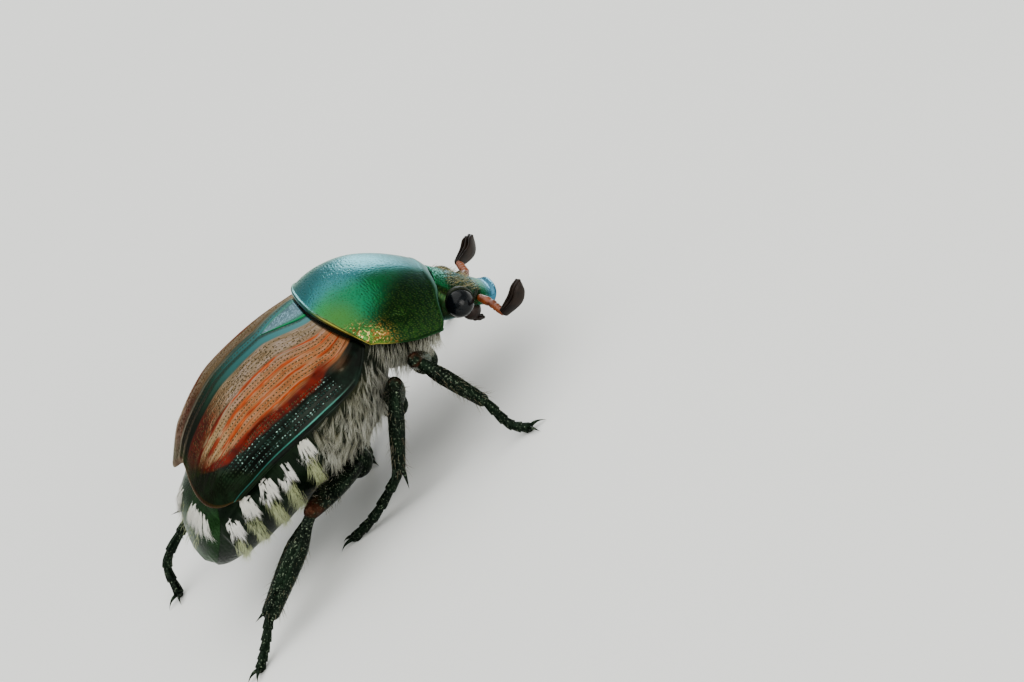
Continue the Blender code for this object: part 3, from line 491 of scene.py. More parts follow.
def pitRow(across, place, row):
    # pits spaced along one row of a wing case
    v = (across - row - 0.006 * wavy(place, place * 0, 0.5, row * 91)) * case["arc"]
    cell = np.floor(place / case["pitGap"])
    depth = np.zeros_like(place)
    for step in (-1, 0, 1):
        centre = (cell + step + 0.5 + 0.3 * (hashed(cell + step, row * 57, 3) - 0.5)) * case["pitGap"]
        size = case["pitRadius"] * (0.8 + 0.4 * hashed(cell + step, row * 91, 5))
        depth = np.maximum(depth, np.exp(-(((place - centre) ** 2 + v ** 2) / size ** 2) ** 1.4))
    return depth


def casePits(across, along, y):
    fade = stepUp(along, 0.0, 0.03)
    depth = np.zeros_like(y)
    edges = (case["sutureBand"] + 0.012, *case["ribs"])
    for low, high in zip(edges[:-1], edges[1:]):
        if low == edges[0]:
            inside = stepUp(across, low, low + 0.01) * stepUp(across, high - 0.022, high - 0.032)
            depth = np.maximum(depth, inside * pitted(y, across * case["arc"], 0.1, 0.026, 7, 0.8))
        else:
            for share in (0.32, 0.68):
                depth = np.maximum(depth, pitRow(across, y, low + (high - low) * share))
    depth = np.maximum(depth, pitRow(across, y, 0.018) * 0.6)
    for row in case["outerRows"]:
        depth = np.maximum(depth, pitRow(across, y, row) * (stepUp(along, 0.42, 0.55) if row < 0.68 else 1.0))
    tail = stepUp(along, 0.9, 0.94)
    depth = depth * (1 - tail) + tail * 0.6 * pitted(y, across * case["arc"], 0.08, 0.02, 9, 0.8)
    shoulder = stepUp(across, 0.58, 0.64) * stepUp(along, 0.24, 0.16)
    return depth * fade * (1 - shoulder) * stepUp(across, 0.95, 0.93)


def caseTints(across, along, y, rib):
    # where each colour of the wing case lies
    place = across + 0.012 * wavy(y, across * 6, 0.35, 33)
    edge = smoothAt(case["flankEdge"], along)
    return {
        "rib": rib * np.clip(0.75 + 0.6 * wavy(y, across * 20, 0.45, 35), 0.0, 1.0),
        "warm": stepUp(place + 0.04 * wavy(y, place * 0, 1.1, 41), 0.2, 0.42),
        "deep": np.maximum(stepUp(place, edge - 0.13, edge - 0.07) * stepUp(along, 0.06, 0.2), np.maximum(
            stepUp(along, 0.5, 0.78) * stepUp(place, 0.34, 0.2) * 0.95,
            stepUp(along + 0.05 * wavy(place * 14, y, 0.5, 46), 0.76, 0.9) * 0.85)),
        # a painted highlight on the shoulder bump: the flank's black is thinned there
        "flank": stepUp(place, edge - 0.015, edge + 0.025) * (
            1 - bumpAt((place - 0.7) / 0.06, (along - 0.11) / 0.05, 0.25)),
        "suture": stepUp(across, case["sutureBand"] + 0.008, case["sutureBand"] - 0.006),
        "rear": stepUp(along + 0.4 * (0.3 - place), 0.52, 0.8),
        # edge: a painted highlight, a thin teal line along the outer rim
        "edge": np.exp(-((across - 0.947) / 0.006) ** 2) * stepUp(along, 0.15, 0.4),
        "tail": stepUp(along + 0.2 * (place - 0.3) + 0.02 * wavy(place * 8, y, 0.7, 44), 0.88, 0.95),
    }


def caseSurface(side):
    def surface(s, t, depth):
        along = np.clip(s, 0.0, 1.0)
        across = np.clip(t, 0.0, 1.0)
        start = smoothAt(case["baseEdge"], across)
        y = start + (smoothAt(case["endEdge"], across) - start) * s
        half = smoothAt(case["halfWidth"], y) - depth
        margin = smoothAt(case["margin"], y)
        crown = smoothAt(case["crown"], y) - depth
        edge = case["sutureGap"] / 2 + shieldletHalf(y - 0.1) * case["clearance"]
        first = np.arcsin((edge / half) ** (case["flatness"] / 2))
        angle = first + (math.pi / 2 - first) * t
        x = half * bentPower(np.sin(angle), 2 / case["flatness"])
        z = margin + (crown - margin) * bentPower(np.cos(angle), 2 / case["round"])
        rib = np.zeros_like(x)
        for place in case["ribs"]:
            shape = np.exp(-((across - place) / (case["ribWidth"] * (1 + 0.8 * stepUp(along, 0.5, 0.85)))) ** 2)
            rib = np.maximum(rib, shape * stepUp(along, 1.0, 0.86))
        pit = casePits(across, along, y) * (1 - rib)
        lift = case["ribHeight"] * rib - case["pitDepth"] * pit
        lift += bumpAt((across - 0.03) / 0.03, 0.0, 0.03)
        lift += bumpAt((1 - across) / 0.035, 0.0, case["rimHeight"])
        lift += bumpAt((across - case["shoulder"][0]) / 0.12, (along - case["shoulder"][1]) / 0.07,
                       case["shoulder"][2])
        lift += bumpAt((across - case["rear"][0]) / 0.14, (along - case["rear"][1]) / 0.08, case["rear"][2])
        lift += 0.012 * wavy(y, across * case["arc"], 0.45, 4) * (1 - rib)
        lift *= depth < 0.02
        points = stacked(side * (x + lift * np.sin(angle)), y, z + lift * np.cos(angle))
        return points, {"along": along, "across": across, "pit": pit, **caseTints(across, along, y, rib)}

    return surface


for word, side in sides.items():
    lid = (side * case["lid"][0], *case["lid"][1:])
    mesh = shellMesh("elytron_" + word, *case["grid"], caseSurface(side), (case["length"], case["arc"]), lid)
    settle("elytron_" + word, mesh, "case", "case_copper", "elytron_" + word)

shield = {
    "halfWidth": ((-4.6, 1.6), (-4.2, 1.86), (-3.8, 2.16), (-3.2, 2.5), (-2.6, 2.68), (-2.0, 2.62), (-1.4, 2.6)),
    "crown": ((-4.6, 0.36), (-4.2, 0.98), (-3.7, 1.54), (-3.1, 1.98), (-2.4, 2.22), (-1.9, 2.26), (-1.4, 2.2)),
    "margin": ((-4.6, -0.84), (-3.9, -0.56), (-3.5, -0.3), (-3.05, 0.0), (-2.4, 0.53), (-2.0, 0.86),
               (-1.4, 1.1)),
    "frontEdge": ((0.0, -4.5), (0.5, -4.34), (0.75, -4.08), (0.92, -3.88), (1.0, -3.7)),
    "rearEdge": ((0.0, -1.34), (0.25, -1.4), (0.6, -1.64), (0.85, -1.86), (1.0, -2.0)),
    "arc": 7.4, "length": 3.0, "cell": 0.074, "pitRadius": 0.019, "pitDepth": 0.009,
    "grid": ((268, 365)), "lid": (0.0, -3.0, 0.6),
}


def shieldSurface(s, t, depth):
    along = np.clip(s, 0.0, 1.0)
    across = np.clip(t, 0.0, 1.0)
    q = 2 * t - 1
    start = smoothAt(shield["frontEdge"], np.abs(q))
    y = start + (smoothAt(shield["rearEdge"], np.abs(q)) - start) * s
    half = smoothAt(shield["halfWidth"], y) - depth
    crown = smoothAt(shield["crown"], y) - depth
    margin = smoothAt(shield["margin"], y)
    angle = np.abs(q) * math.pi / 2
    x = half * bentPower(np.sin(angle), 2 / case["flatness"])
    z = margin + (crown - margin) * bentPower(np.cos(angle), 2 / case["round"])
    sidewise = np.abs(2 * across - 1)
    rim = np.exp(-((1 - sidewise) / 0.011) ** 2) + np.exp(-((1 - along) / 0.014) ** 2)
    rim = np.clip(rim + 0.8 * np.exp(-(along / 0.015) ** 2), 0.0, 1.0)
    dense = 0.65 + 0.35 * stepUp(sidewise, 0.1, 0.7)
    pit = pitted(y, across * shield["arc"], shield["cell"], shield["pitRadius"], 21, dense)
    pit *= 1 - rim
    # painted shade: darker towards the front and the flanks
    shadow = stepUp(1.1 * sidewise + 0.9 * (1 - along), 0.75, 1.35)
    warm = stepUp(sidewise, 0.6, 0.78) * stepUp(along, 0.48, 0.72)
    lift = 0.035 * rim - shield["pitDepth"] * pit + 0.005 * wavy(y, across * shield["arc"], 0.6, 8)
    lift -= bumpAt((sidewise - 0.72) / 0.05, (along - 0.45) / 0.1, 0.05)
    lift *= depth < 0.02
    points = stacked(np.sign(q) * (x + lift * np.sin(angle)), y, z + lift * np.cos(angle))
    # painted sheen along the midline of the pronotum
    crest = stepUp(sidewise, 0.45, 0.0)
    # painted reflection: green-gold sheen towards the rear, away from the midline
    gilt = stepUp(sidewise, 0.2, 0.5) * stepUp(along, 0.6, 0.9)
    return points, {"shadow": shadow, "pit": pit, "rim": rim, "warm": warm, "crest": crest, "gilt": gilt}


def shieldletSurface(s, t, depth):
    y = shieldlet["front"] + (shieldlet["tip"] - shieldlet["front"]) * np.clip(s, -0.03, 1.03)
    half = np.maximum(shieldletHalf(y), 0.03)
    q = 2 * t - 1
    pit = pitted(q * half, y, 0.09, 0.028, 31, 0.7) * stepUp(np.abs(q), 0.9, 0.75)
    z = smoothAt(case["crown"], y) + 0.03 * (1 - q * q) * half / shieldlet["half"] - 0.012 * pit - depth * 1.6
    rim = stepUp(np.abs(q), 0.82, 0.95)
    points = stacked(q * half, y, z + 0.01 * rim * (depth < 0.02))
    return points, {"shadow": q * 0, "pit": pit * 0.2, "rim": q * 0, "warm": q * 0, "crest": 1 - 0.7 * q * q}


mesh = shellMesh("pronotum", *shield["grid"], shieldSurface, (shield["length"], shield["arc"]), shield["lid"])
settle("pronotum", mesh, "shield", "shell_green", "pronotum")
mesh = shellMesh("scutellum", *shieldlet["grid"], shieldletSurface, shieldlet["size"], shieldlet["lid"])
settle("scutellum", mesh, "shieldlet", "shell_green", "scutellum")
print("shells made")


# Bodies made of rings: ring(share, angle) gives a point, and each end closes on its tip
def ringMesh(name, rings, around, ring, tips=None):
    shape = bmesh.new()
    bmesh.ops.create_uvsphere(shape, u_segments=around, v_segments=rings, radius=1.0)
    mesh = meshOf(name, shape)
    ball = meshPoints(mesh)
    row = np.round(np.arccos(np.clip(ball[:, 2], -1, 1)) / math.pi * rings)
    angle = np.arctan2(ball[:, 1], ball[:, 0])
    share = np.clip((row - 1) / (rings - 2), 0.0, 1.0)
    points, marks = ring(share, angle)
    for end, edge in ((0, row == 0), (1, row == rings)):
        if tips is not None:
            points[edge] = tips[end]
        else:
            points[edge] = points[(row == (1, rings - 1)[end])].mean(axis=0)
    return shaped(mesh, points, marks)


def limbMesh(name, path, width, thickness, sideways, rings, around, relief=None):
    # limb with round ends along a path, its width towards the sideways direction
    caps = max(rings // 8, 3)
    path = np.array(path, float)

    def heading(t):
        return unit(pathAt(path, np.minimum(t + 0.02, 1.0)) - pathAt(path, np.maximum(t - 0.02, 0.0)))

    def ring(share, angle):
        row = np.round(share * (rings - 2)) + 1
        t = np.clip((row - caps) / (rings - 2 * caps), 0.0, 1.0)
        turn = math.pi / 2 * np.maximum(np.maximum(caps - row, row - rings + caps), 0) / caps
        ahead = heading(t)
        across = unit(sideways - ahead * (ahead @ sideways)[:, None])
        over = np.cross(ahead, across)
        lift = relief(t, angle) if relief else 0.0
        halfWidth = width(t) / 2 + lift
        halfThickness = thickness(t) / 2 + lift
        outward = across * (halfWidth * np.cos(angle))[:, None] + over * (halfThickness * np.sin(angle))[:, None]
        push = np.sign(t - 0.5) * np.sin(turn) * np.minimum(halfWidth, halfThickness)
        return pathAt(path, t) + outward * np.cos(turn)[:, None] + ahead * push[:, None], {}

    ends = np.array([0.0, 1.0])
    push = np.minimum(width(ends), thickness(ends)) / 2 * np.array([-1.0, 1.0])
    tips = pathAt(path, ends) + heading(ends) * push[:, None]
    return ringMesh(name, rings, around, ring, tips)


def coneMesh(name, around, rings, triangles=False):
    # upright cone in rings, to be bent into a spine or a hair
    shape = bmesh.new()
    bmesh.ops.create_cone(shape, cap_ends=True, segments=around, radius1=1.0, radius2=0.0, depth=1.0)
    rising = [edge for edge in shape.edges if abs(edge.verts[0].co.z - edge.verts[1].co.z) > 0.5]
    bmesh.ops.subdivide_edges(shape, edges=rising, cuts=rings - 1)
    if triangles:
        bmesh.ops.triangulate(shape, faces=shape.faces)
    return meshOf(name, shape)


def spikeMesh(name, root, direction, pull, length, radius, around, rings, flatness=1.0):
    # tapered spine or claw bending towards the pull direction
    mesh = coneMesh(name, around, rings)
    cone = meshPoints(mesh)
    direction = unit(np.array(direction, float))
    pull = np.array(pull, float)
    across = unit(np.cross(direction, pull))
    over = np.cross(across, direction)
    t = (cone[:, 2] + 0.5)[:, None]
    belly = (1 + 0.5 * t * (1 - t) * 2)
    spread = (across * cone[:, 0:1] + over * cone[:, 1:2] * flatness) * belly
    setPoints(mesh, toFrame(root + direction * length * t + pull * length * t * t + spread * radius))
    return mesh


def joined(name, meshes):
    # one mesh from several, whose own copies are removed
    shape = opened(*meshes)
    for mesh in meshes:
        bpy.data.meshes.remove(mesh)
    return meshOf(name, shape)


def cutMesh(mesh, point, normal):
    # takes off what lies before the plane and closes the cut
    shape = opened(mesh)
    geometry = shape.verts[:] + shape.edges[:] + shape.faces[:]
    cut = bmesh.ops.bisect_plane(shape, geom=geometry, dist=1e-9, plane_co=Vector(toFrame(point)),
                                 plane_no=Vector(normal), clear_inner=True)
    rim = [item for item in cut["geom_cut"] if isinstance(item, bmesh.types.BMEdge)]
    bmesh.ops.holes_fill(shape, edges=rim, sides=0)
    closed(shape, mesh)


trunk = {
    "frontSpan": (-3.78, -1.9), "middleSpan": (-1.95, 1.05), "hindSpan": (0.95, 5.5), "gap": 0.16,
    "frontBelly": ((-3.8, -0.95), (-3.2, -1.05), (-2.8, -1.2), (-2.4, -1.15), (-1.9, -0.9)),
    "side": ((-1.95, 2.1), (-1.3, 2.38), (-0.5, 2.62), (0.5, 2.76), (1.1, 2.78), (2.4, 2.76), (3.3, 2.6),
             (4.0, 2.27), (4.6, 1.83), (5.1, 1.3), (5.35, 0.85), (5.5, 0.4)),
    "belly": ((-1.95, -0.8), (-1.3, -1.35), (-0.9, -1.66), (0.0, -1.86), (1.0, -1.95), (3.4, -2.0), (4.5, -2.0),
              (5.0, -1.92), (5.3, -1.75), (5.5, -1.5)),
    "top": ((1.0, 1.42), (2.5, 1.25), (3.3, 1.0), (3.9, 0.62), (4.3, 0.36), (4.7, 0.17), (5.0, -0.12),
            (5.25, -0.5), (5.42, -0.88), (5.5, -1.1)),
    "waist": ((1.0, 0.18), (2.2, 0.18), (3.0, 0.04), (3.6, -0.1), (4.2, -0.35), (5.0, -0.8), (5.5, -1.3)),
    "segment": 0.74, "firstSegment": 0.91, "step": 0.075, "cutPoint": (0.0, 4.3, -0.1), "cutSlope": 54.7,
    "frontRings": (90, 140), "middleRings": (150, 200), "hindRings": (260, 220),
}


def insetAt(stations, y, inset):
    slope = (smoothAt(stations, y + 0.05) - smoothAt(stations, y - 0.05)) / 0.1
    return smoothAt(stations, y) - inset * np.sqrt(1 + slope * slope)


def trunkRing(y, angle, top, waist, side, belly, upper, scale):
    middle = (top + belly) / 2
    power = 2 / body["roundness"]
    raised = np.sin(angle) > 0.001
    reach = np.abs(np.sin(angle)) ** power
    x = np.where(raised, upper, side) * bentPower(np.cos(angle), power)
    z = np.where(raised, waist + (top - waist) * reach, waist - (waist - belly) * reach)
    return stacked(x * scale, y, middle + (z - middle) * scale)


def trunkMesh(name, rings, around, span, lengths, crowd=1.0, ridges=None):
    def ring(share, angle):
        y = span[0] + (span[1] - span[0]) * (1 - (1 - share) ** crowd)
        scale = np.where((share == 0) | (share == 1), 0.9, 1.0)
        top, waist, side, belly, upper = lengths(y)
        lift = ridges(y, angle) if ridges else 0.0
        grain = 0.01 * pitted(y, angle * 2.2, 0.1, 0.035, 51, 0.8)
        return trunkRing(y, angle, top, waist, side + lift - grain, belly - lift + grain, upper, scale), {}

    return ringMesh(name, rings, around, ring)


def frontLengths(y):
    top = insetAt(shield["crown"], y, trunk["gap"])
    upper = insetAt(shield["halfWidth"], y, trunk["gap"])
    waist = smoothAt(shield["margin"], y) - 0.12
    return top, waist, smoothAt(shield["halfWidth"], y) - 0.55, smoothAt(trunk["frontBelly"], y), upper


def middleLengths(y):
    upper = np.minimum(insetAt(case["halfWidth"], y, trunk["gap"]), 2.7)
    top = np.minimum(insetAt(case["crown"], y, trunk["gap"]), 1.7)
    waist = smoothAt(case["margin"], y) - 0.12
    return top, waist, smoothAt(trunk["side"], y), smoothAt(trunk["belly"], y), upper


def hindLengths(y):
    side = smoothAt(trunk["side"], y)
    upper = np.minimum(insetAt(case["halfWidth"], y, 0.35), side)
    return smoothAt(trunk["top"], y), smoothAt(trunk["waist"], y), side, smoothAt(trunk["belly"], y), upper


def middleRidges(y, angle):
    # plates of the thorax side: a slanting groove in front of the hind hip
    low = stepUp(np.sin(angle), -0.02, -0.3)
    groove = np.exp(-((y + 0.35 + 0.9 * np.sin(angle)) / 0.05) ** 2)
    groove = np.maximum(groove, np.exp(-((y - 0.55 + 0.5 * np.sin(angle)) / 0.05) ** 2))
    return -0.07 * groove * low


def hindRidges(y, angle):
    # each segment swells to its rear edge and drops to the next
    place = (y - trunk["firstSegment"]) / trunk["segment"] % 1.0
    low = stepUp(np.sin(angle), 0.02, -0.12)
    return low * trunk["step"] * (place ** 1.5 * stepUp(place, 1.0, 0.93))


mesh = trunkMesh("prosternum", *trunk["frontRings"], trunk["frontSpan"], frontLengths)
settle("prosternum", mesh, "thorax", "dark_green", "prosternum")
mesh = trunkMesh("metathorax", *trunk["middleRings"], trunk["middleSpan"], middleLengths, 1.0, middleRidges)
settle("metathorax", mesh, "thorax", "dark_green", "metathorax")
slope = math.radians(trunk["cutSlope"])
tailWay = np.array([0.0, math.sin(slope), math.cos(slope)])
for word, finish, way, offset in (("abdomen", "belly", -1, 0.004), ("pygidium", "tail", 1, 0.006)):
    mesh = trunkMesh(word, *trunk["hindRings"], trunk["hindSpan"], hindLengths, 1.7, hindRidges)
    cutMesh(mesh, np.array(trunk["cutPoint"]) + tailWay * way * offset, tailWay * way)
    settle(word, mesh, finish, "dark_green", word)
print("trunk made")

face = {
    "top": (-4.6, 0.26), "slope": 60.0, "start": 0.02, "length": 1.86,
    "halfWidth": ((0.0, 1.0), (0.4, 1.12), (1.0, 1.06), (1.25, 0.9), (1.45, 0.9), (1.75, 0.86), (1.9, 0.78)),
    "depth": ((0.0, 0.95), (0.5, 1.12), (1.0, 0.9), (1.4, 0.45), (1.9, 0.26)),
    "bulge": 0.1, "roundness": 2.35, "rings": (190, 220),
    "eyeRadius": 0.4, "eyeCentre": (1.12, 0.79, 0.5), "eyeRings": (70, 90),
    "orbitRadius": 0.41, "orbitWidth": 0.24, "orbitThickness": 0.08, "browWidth": 0.2, "browThickness": 0.1,
    "canthus": ((0.9, 1.22, 0.12), (1.12, 1.13, 0.3), (1.34, 0.98, 0.48)),
    "mouthDepth": 0.74, "mouthWidth": 0.56, "mouth": ((-0.5, 1.4), (0.0, 1.5), (0.5, 1.4)),
    "palpWidth": 0.13, "palp": ((0.5, 1.4, 0.86), (0.6, 1.56, 0.92), (0.62, 1.76, 0.82)),
}
faceSlope = math.radians(face["slope"])
faceDown = np.array([0.0, -math.cos(faceSlope), -math.sin(faceSlope)])
faceOut = np.array([0.0, -math.sin(faceSlope), math.cos(faceSlope)])


def facePoint(x, along, depth):
    x, along, depth = np.broadcast_arrays(np.asarray(x, float), along, depth)
    start = stacked(x, x * 0 + face["top"][0], x * 0 + face["top"][1])
    return start + faceDown * along[..., None] - faceOut * depth[..., None]


def headRing(share, angle):
    along = face["start"] + (face["length"] - face["start"]) * (1 - (1 - share) ** 1.25)
    depth = smoothAt(face["depth"], along)
    half = smoothAt(face["halfWidth"], along)
    power = 2 / face["roundness"]
    scale = np.where(share == 0, 0.8, 1.0)
    x = half * bentPower(np.cos(angle), power) * scale
    front = np.clip(np.sin(angle), 0, 1) ** 0.5
    pit = pitted(along, x, 0.075, 0.026, 61, 0.95) * front * (1 - 0.7 * stepUp(along, 1.2, 1.4))
    rim = stepUp(along, 1.7, 1.84) + stepUp(np.abs(x), half - 0.1, half - 0.02) * stepUp(along, 1.2, 1.4)
    seam = np.exp(-((along - 1.22 - 0.06 * np.cos(x * 2)) / 0.03) ** 2)
    lift = 0.12 * np.clip(rim, 0, 1) * stepUp(along, 1.2, 1.8) - 0.022 * pit - 0.05 * seam
    lift += 0.05 * bumpAt(x / 0.5, (along - 0.75) / 0.25, 1.0)
    inward = depth / 2 - (depth / 2 + face["bulge"]) * bentPower(np.sin(angle), power) * scale
    points = facePoint(x, along, inward + face["bulge"] - lift * front)
    # painted shade over the middle of the face and on the temples behind the eyes
    shadow = 0.2 + stepUp(along, 0.25, 0.6) * 0.75 - 0.85 * stepUp(along, 1.3, 1.5)
    shadow = np.maximum(shadow, stepUp(np.abs(x) / half, 0.72, 0.92) * stepUp(along, 1.35, 1.15))
    # warm marks the clypeus, which the face finish paints blue-teal as painted sheen
    marks = {"shadow": np.clip(shadow, 0, 1), "pit": pit, "rim": x * 0, "warm": stepUp(along, 1.5, 1.75),
             "crest": x * 0}
    return points, marks


mesh = ringMesh("head", *face["rings"], headRing)
settle("head", mesh, "face", "shell_green", "head")
upright = np.array([0.0, 0.0, 1.0])


def dotted(t, angle):
    return -0.009 * pitted(t * 3, angle * 0.6, 0.11, 0.04, 73, 0.9)


def eyeRing(centre):
    def ring(share, angle):
        turn = share * math.pi
        flat = stacked(np.sin(turn) * np.cos(angle), np.sin(turn) * np.sin(angle), np.cos(turn))
        return centre + flat * face["eyeRadius"], {}
    return ring


def constant(size):
    return lambda t: size + t * 0


for word, side in sides.items():
    x, along, depth = face["eyeCentre"]
    centre = facePoint(side * x, along, depth)
    mesh = ringMesh("eye_" + word, *face["eyeRings"], eyeRing(centre))
    settle("eye_" + word, mesh, "eye", "eye_black", "eye_" + word)
    turns = np.linspace(0.0, 2 * math.pi, 13)
    reach = face["orbitRadius"]
    orbit = centre + stacked(turns * 0 - side * 0.1, np.cos(turns) * reach, np.sin(turns) * reach)
    brow = [facePoint(side * x, along, depth) for x, along, depth in face["canthus"]]
    rims = [limbMesh("orbit", orbit, constant(face["orbitWidth"]), constant(face["orbitThickness"]),
                     np.array([side, 0.0, 0.0]), 110, 20, dotted),
            limbMesh("canthus", brow, constant(face["browWidth"]), constant(face["browThickness"]),
                     faceOut, 50, 20, dotted)]
    settle("orbit_" + word, joined("orbit_" + word, rims), "thorax", "shell_green", "head")

lip = [facePoint(x, along, face["mouthDepth"]) for x, along in face["mouth"]]
palps = [limbMesh("mouth", lip, constant(face["mouthWidth"]), constant(face["mouthWidth"]), upright, 60, 40, dotted)]
for side in sides.values():
    for shift in (0.0, 0.16):
        points = [facePoint(side * (x - shift), along, depth) for x, along, depth in face["palp"]]
        beads = lambda t: face["palpWidth"] * (0.75 + 0.35 * np.abs(np.sin(math.pi * (3 * t + 0.1))))
        palps.append(limbMesh("palp", points, beads, beads, upright, 40, 16))
settle("mouthparts", joined("mouthparts", palps), "mouth", "amber", "mouthparts")

feeler = {
    "near": ((1.05, -5.08, -1.02), (1.42, -5.2, -1.2), (1.68, -5.24, -1.36), (1.95, -5.28, -1.44)),
    "nearTip": (2.15, -6.28, -0.92),
    "far": ((1.05, -5.1, -1.08), (1.4, -5.25, -1.16), (1.7, -5.28, -1.1), (1.98, -5.3, -1.06)),
    "farTip": (2.9, -6.12, -1.0),
    "stalkWidth": 0.24, "lamellaWidth": 0.38, "lamellaThickness": 0.115, "lamellaStep": 0.13,
    "bow": np.array([0.0, 0.0, -0.13]),
}


def mirrored(side, points):
    return np.array([(side * x, y, z) for x, y, z in points], float)


for word, side, stalk, tip in (("right", -1, "near", "nearTip"), ("left", 1, "far", "farTip")):
    points = mirrored(side, feeler[stalk])
    end = mirrored(side, [feeler[tip]])[0]
    clubRoot = points[-1]
    along = unit(end - clubRoot)
    flat = unit(np.cross(along, points[-1] - points[-2]))
    over = np.cross(flat, along)
    beads = lambda t: feeler["stalkWidth"] * (0.9 - 0.25 * t + 0.22 * np.abs(np.sin(math.pi * (6 * t ** 1.5))))
    stalkMesh = limbMesh("stalk", points, beads, beads, flat, 90, 24)
    settle("antenna_" + word, stalkMesh, "amber", "amber", "antenna_" + word)
    blades = []
    for number in (-1, 0, 1):
        offset = over * feeler["lamellaStep"] * number
        reach = along * (0.12 + 0.05 * abs(number))
        blade = (clubRoot + offset * 0.5, (clubRoot + end) / 2 + offset + feeler["bow"],
                 end + offset * 0.75 - reach)
        width = lambda t: feeler["lamellaWidth"] * (0.5 + 0.5 * np.sin(math.pi * (t * 0.7 + 0.1))) * (
            1 - 0.65 * np.clip((t - 0.72) / 0.28, 0, 1) ** 2.5)
        blades.append(limbMesh("blade", blade, width, constant(feeler["lamellaThickness"]), flat, 50, 28))
    settle("club_" + word, joined("club_" + word, blades), "club", "amber", "antenna_" + word)
print("head made")

# Legs: joint centres for each foot, as (distance out, y, height)
legs = {
    ("front", "right"): ((1.0, -2.75, -1.25), (2.95, -2.6, -0.25), (4.25, -3.24, -2.08), (4.6, -3.3, -2.85),
                         (4.95, -3.62, -3.2)),
    ("front", "left"): ((1.0, -2.75, -1.25), (2.95, -2.75, -0.35), (4.2, -3.55, -2.15), (4.62, -3.8, -2.85),
                        (4.93, -4.2, -3.2)),
    ("middle", "right"): ((1.05, -1.3, -1.6), (3.0, -1.72, -0.35), (3.3, -0.14, -2.24), (2.75, 1.1, -2.9),
                          (2.25, 2.0, -3.2)),
    ("middle", "left"): ((1.05, -1.3, -1.6), (2.95, -1.5, -0.4), (3.05, -0.35, -2.35), (1.9, 0.05, -3.0),
                         (1.0, 0.3, -3.2)),
    ("hind", "right"): ((1.2, 0.55, -2.0), (3.35, 2.3, -1.28), (3.85, 5.15, -2.5), (4.15, 5.8, -2.95),
                        (4.45, 6.3, -3.2)),
    ("hind", "left"): ((1.2, 0.55, -2.0), (3.35, 2.3, -1.28), (3.6, 5.05, -1.75), (3.85, 6.45, -2.4),
                       (3.4, 6.85, -3.2)),
}
legSizes = {
    "front": {"coxa": 0.42, "femur": 0.62, "femurThick": 0.5, "tibia": 0.52, "tibiaThick": 0.48, "spines": 3},
    "middle": {"coxa": 0.42, "femur": 0.66, "femurThick": 0.5, "tibia": 0.54, "tibiaThick": 0.48, "spines": 5},
    "hind": {"coxa": 0.5, "femur": 0.95, "femurThick": 0.58, "tibia": 0.82, "tibiaThick": 0.66, "spines": 6},
}
legParts = {
    "knee": 0.44, "tarsus": 0.3, "joints": 5, "spine": 0.34, "spineRadius": 0.05, "spur": 0.52,
    "claw": 0.52, "clawRadius": 0.07, "tooth": 0.42, "toothRadius": 0.15, "seed": 11,
}


def grooved(t, angle):
    # long grooves and coarse pits along a shin
    groove = (0.5 + 0.5 * np.cos(angle * 7)) * np.sin(math.pi * t)
    return -0.018 * groove - 0.012 * pitted(t * 3, angle, 0.16, 0.06, 71)


def makeThigh(place, word, hip, knee, sizes):
    ahead = unit(knee - hip)
    flat = np.cross(np.cross(ahead, np.array([0.0, 1.0, 0.3])), ahead)

    def spindle(middle, start, end):
        return lambda t: start + (end - start) * t + (middle - (start + end) / 2) * np.sin(math.pi * t) ** 0.8

    width = spindle(sizes["femur"], sizes["femur"] * 0.7, legParts["knee"])
    thick = spindle(sizes["femurThick"], 0.5, legParts["knee"])
    thigh = limbMesh("thigh", (hip, knee + ahead * 0.06), width, thick, flat, 90, 60, dotted)
    mark(thigh, "knee", stepUp(np.linalg.norm(meshPoints(thigh) - toFrame(knee), axis=1), 0.0006, 0.0002))
    size = sizes["coxa"] * 1.9
    inner = hip + np.array([-0.25, 0, 0]) * np.sign(hip[0])
    coxa = limbMesh("coxa", (inner, hip), constant(size), constant(size), flat, 50, 50, dotted)
    name = "femur_" + place + "_" + word
    settle(name, joined(name, [thigh, coxa]), "leg", "dark_green", name)


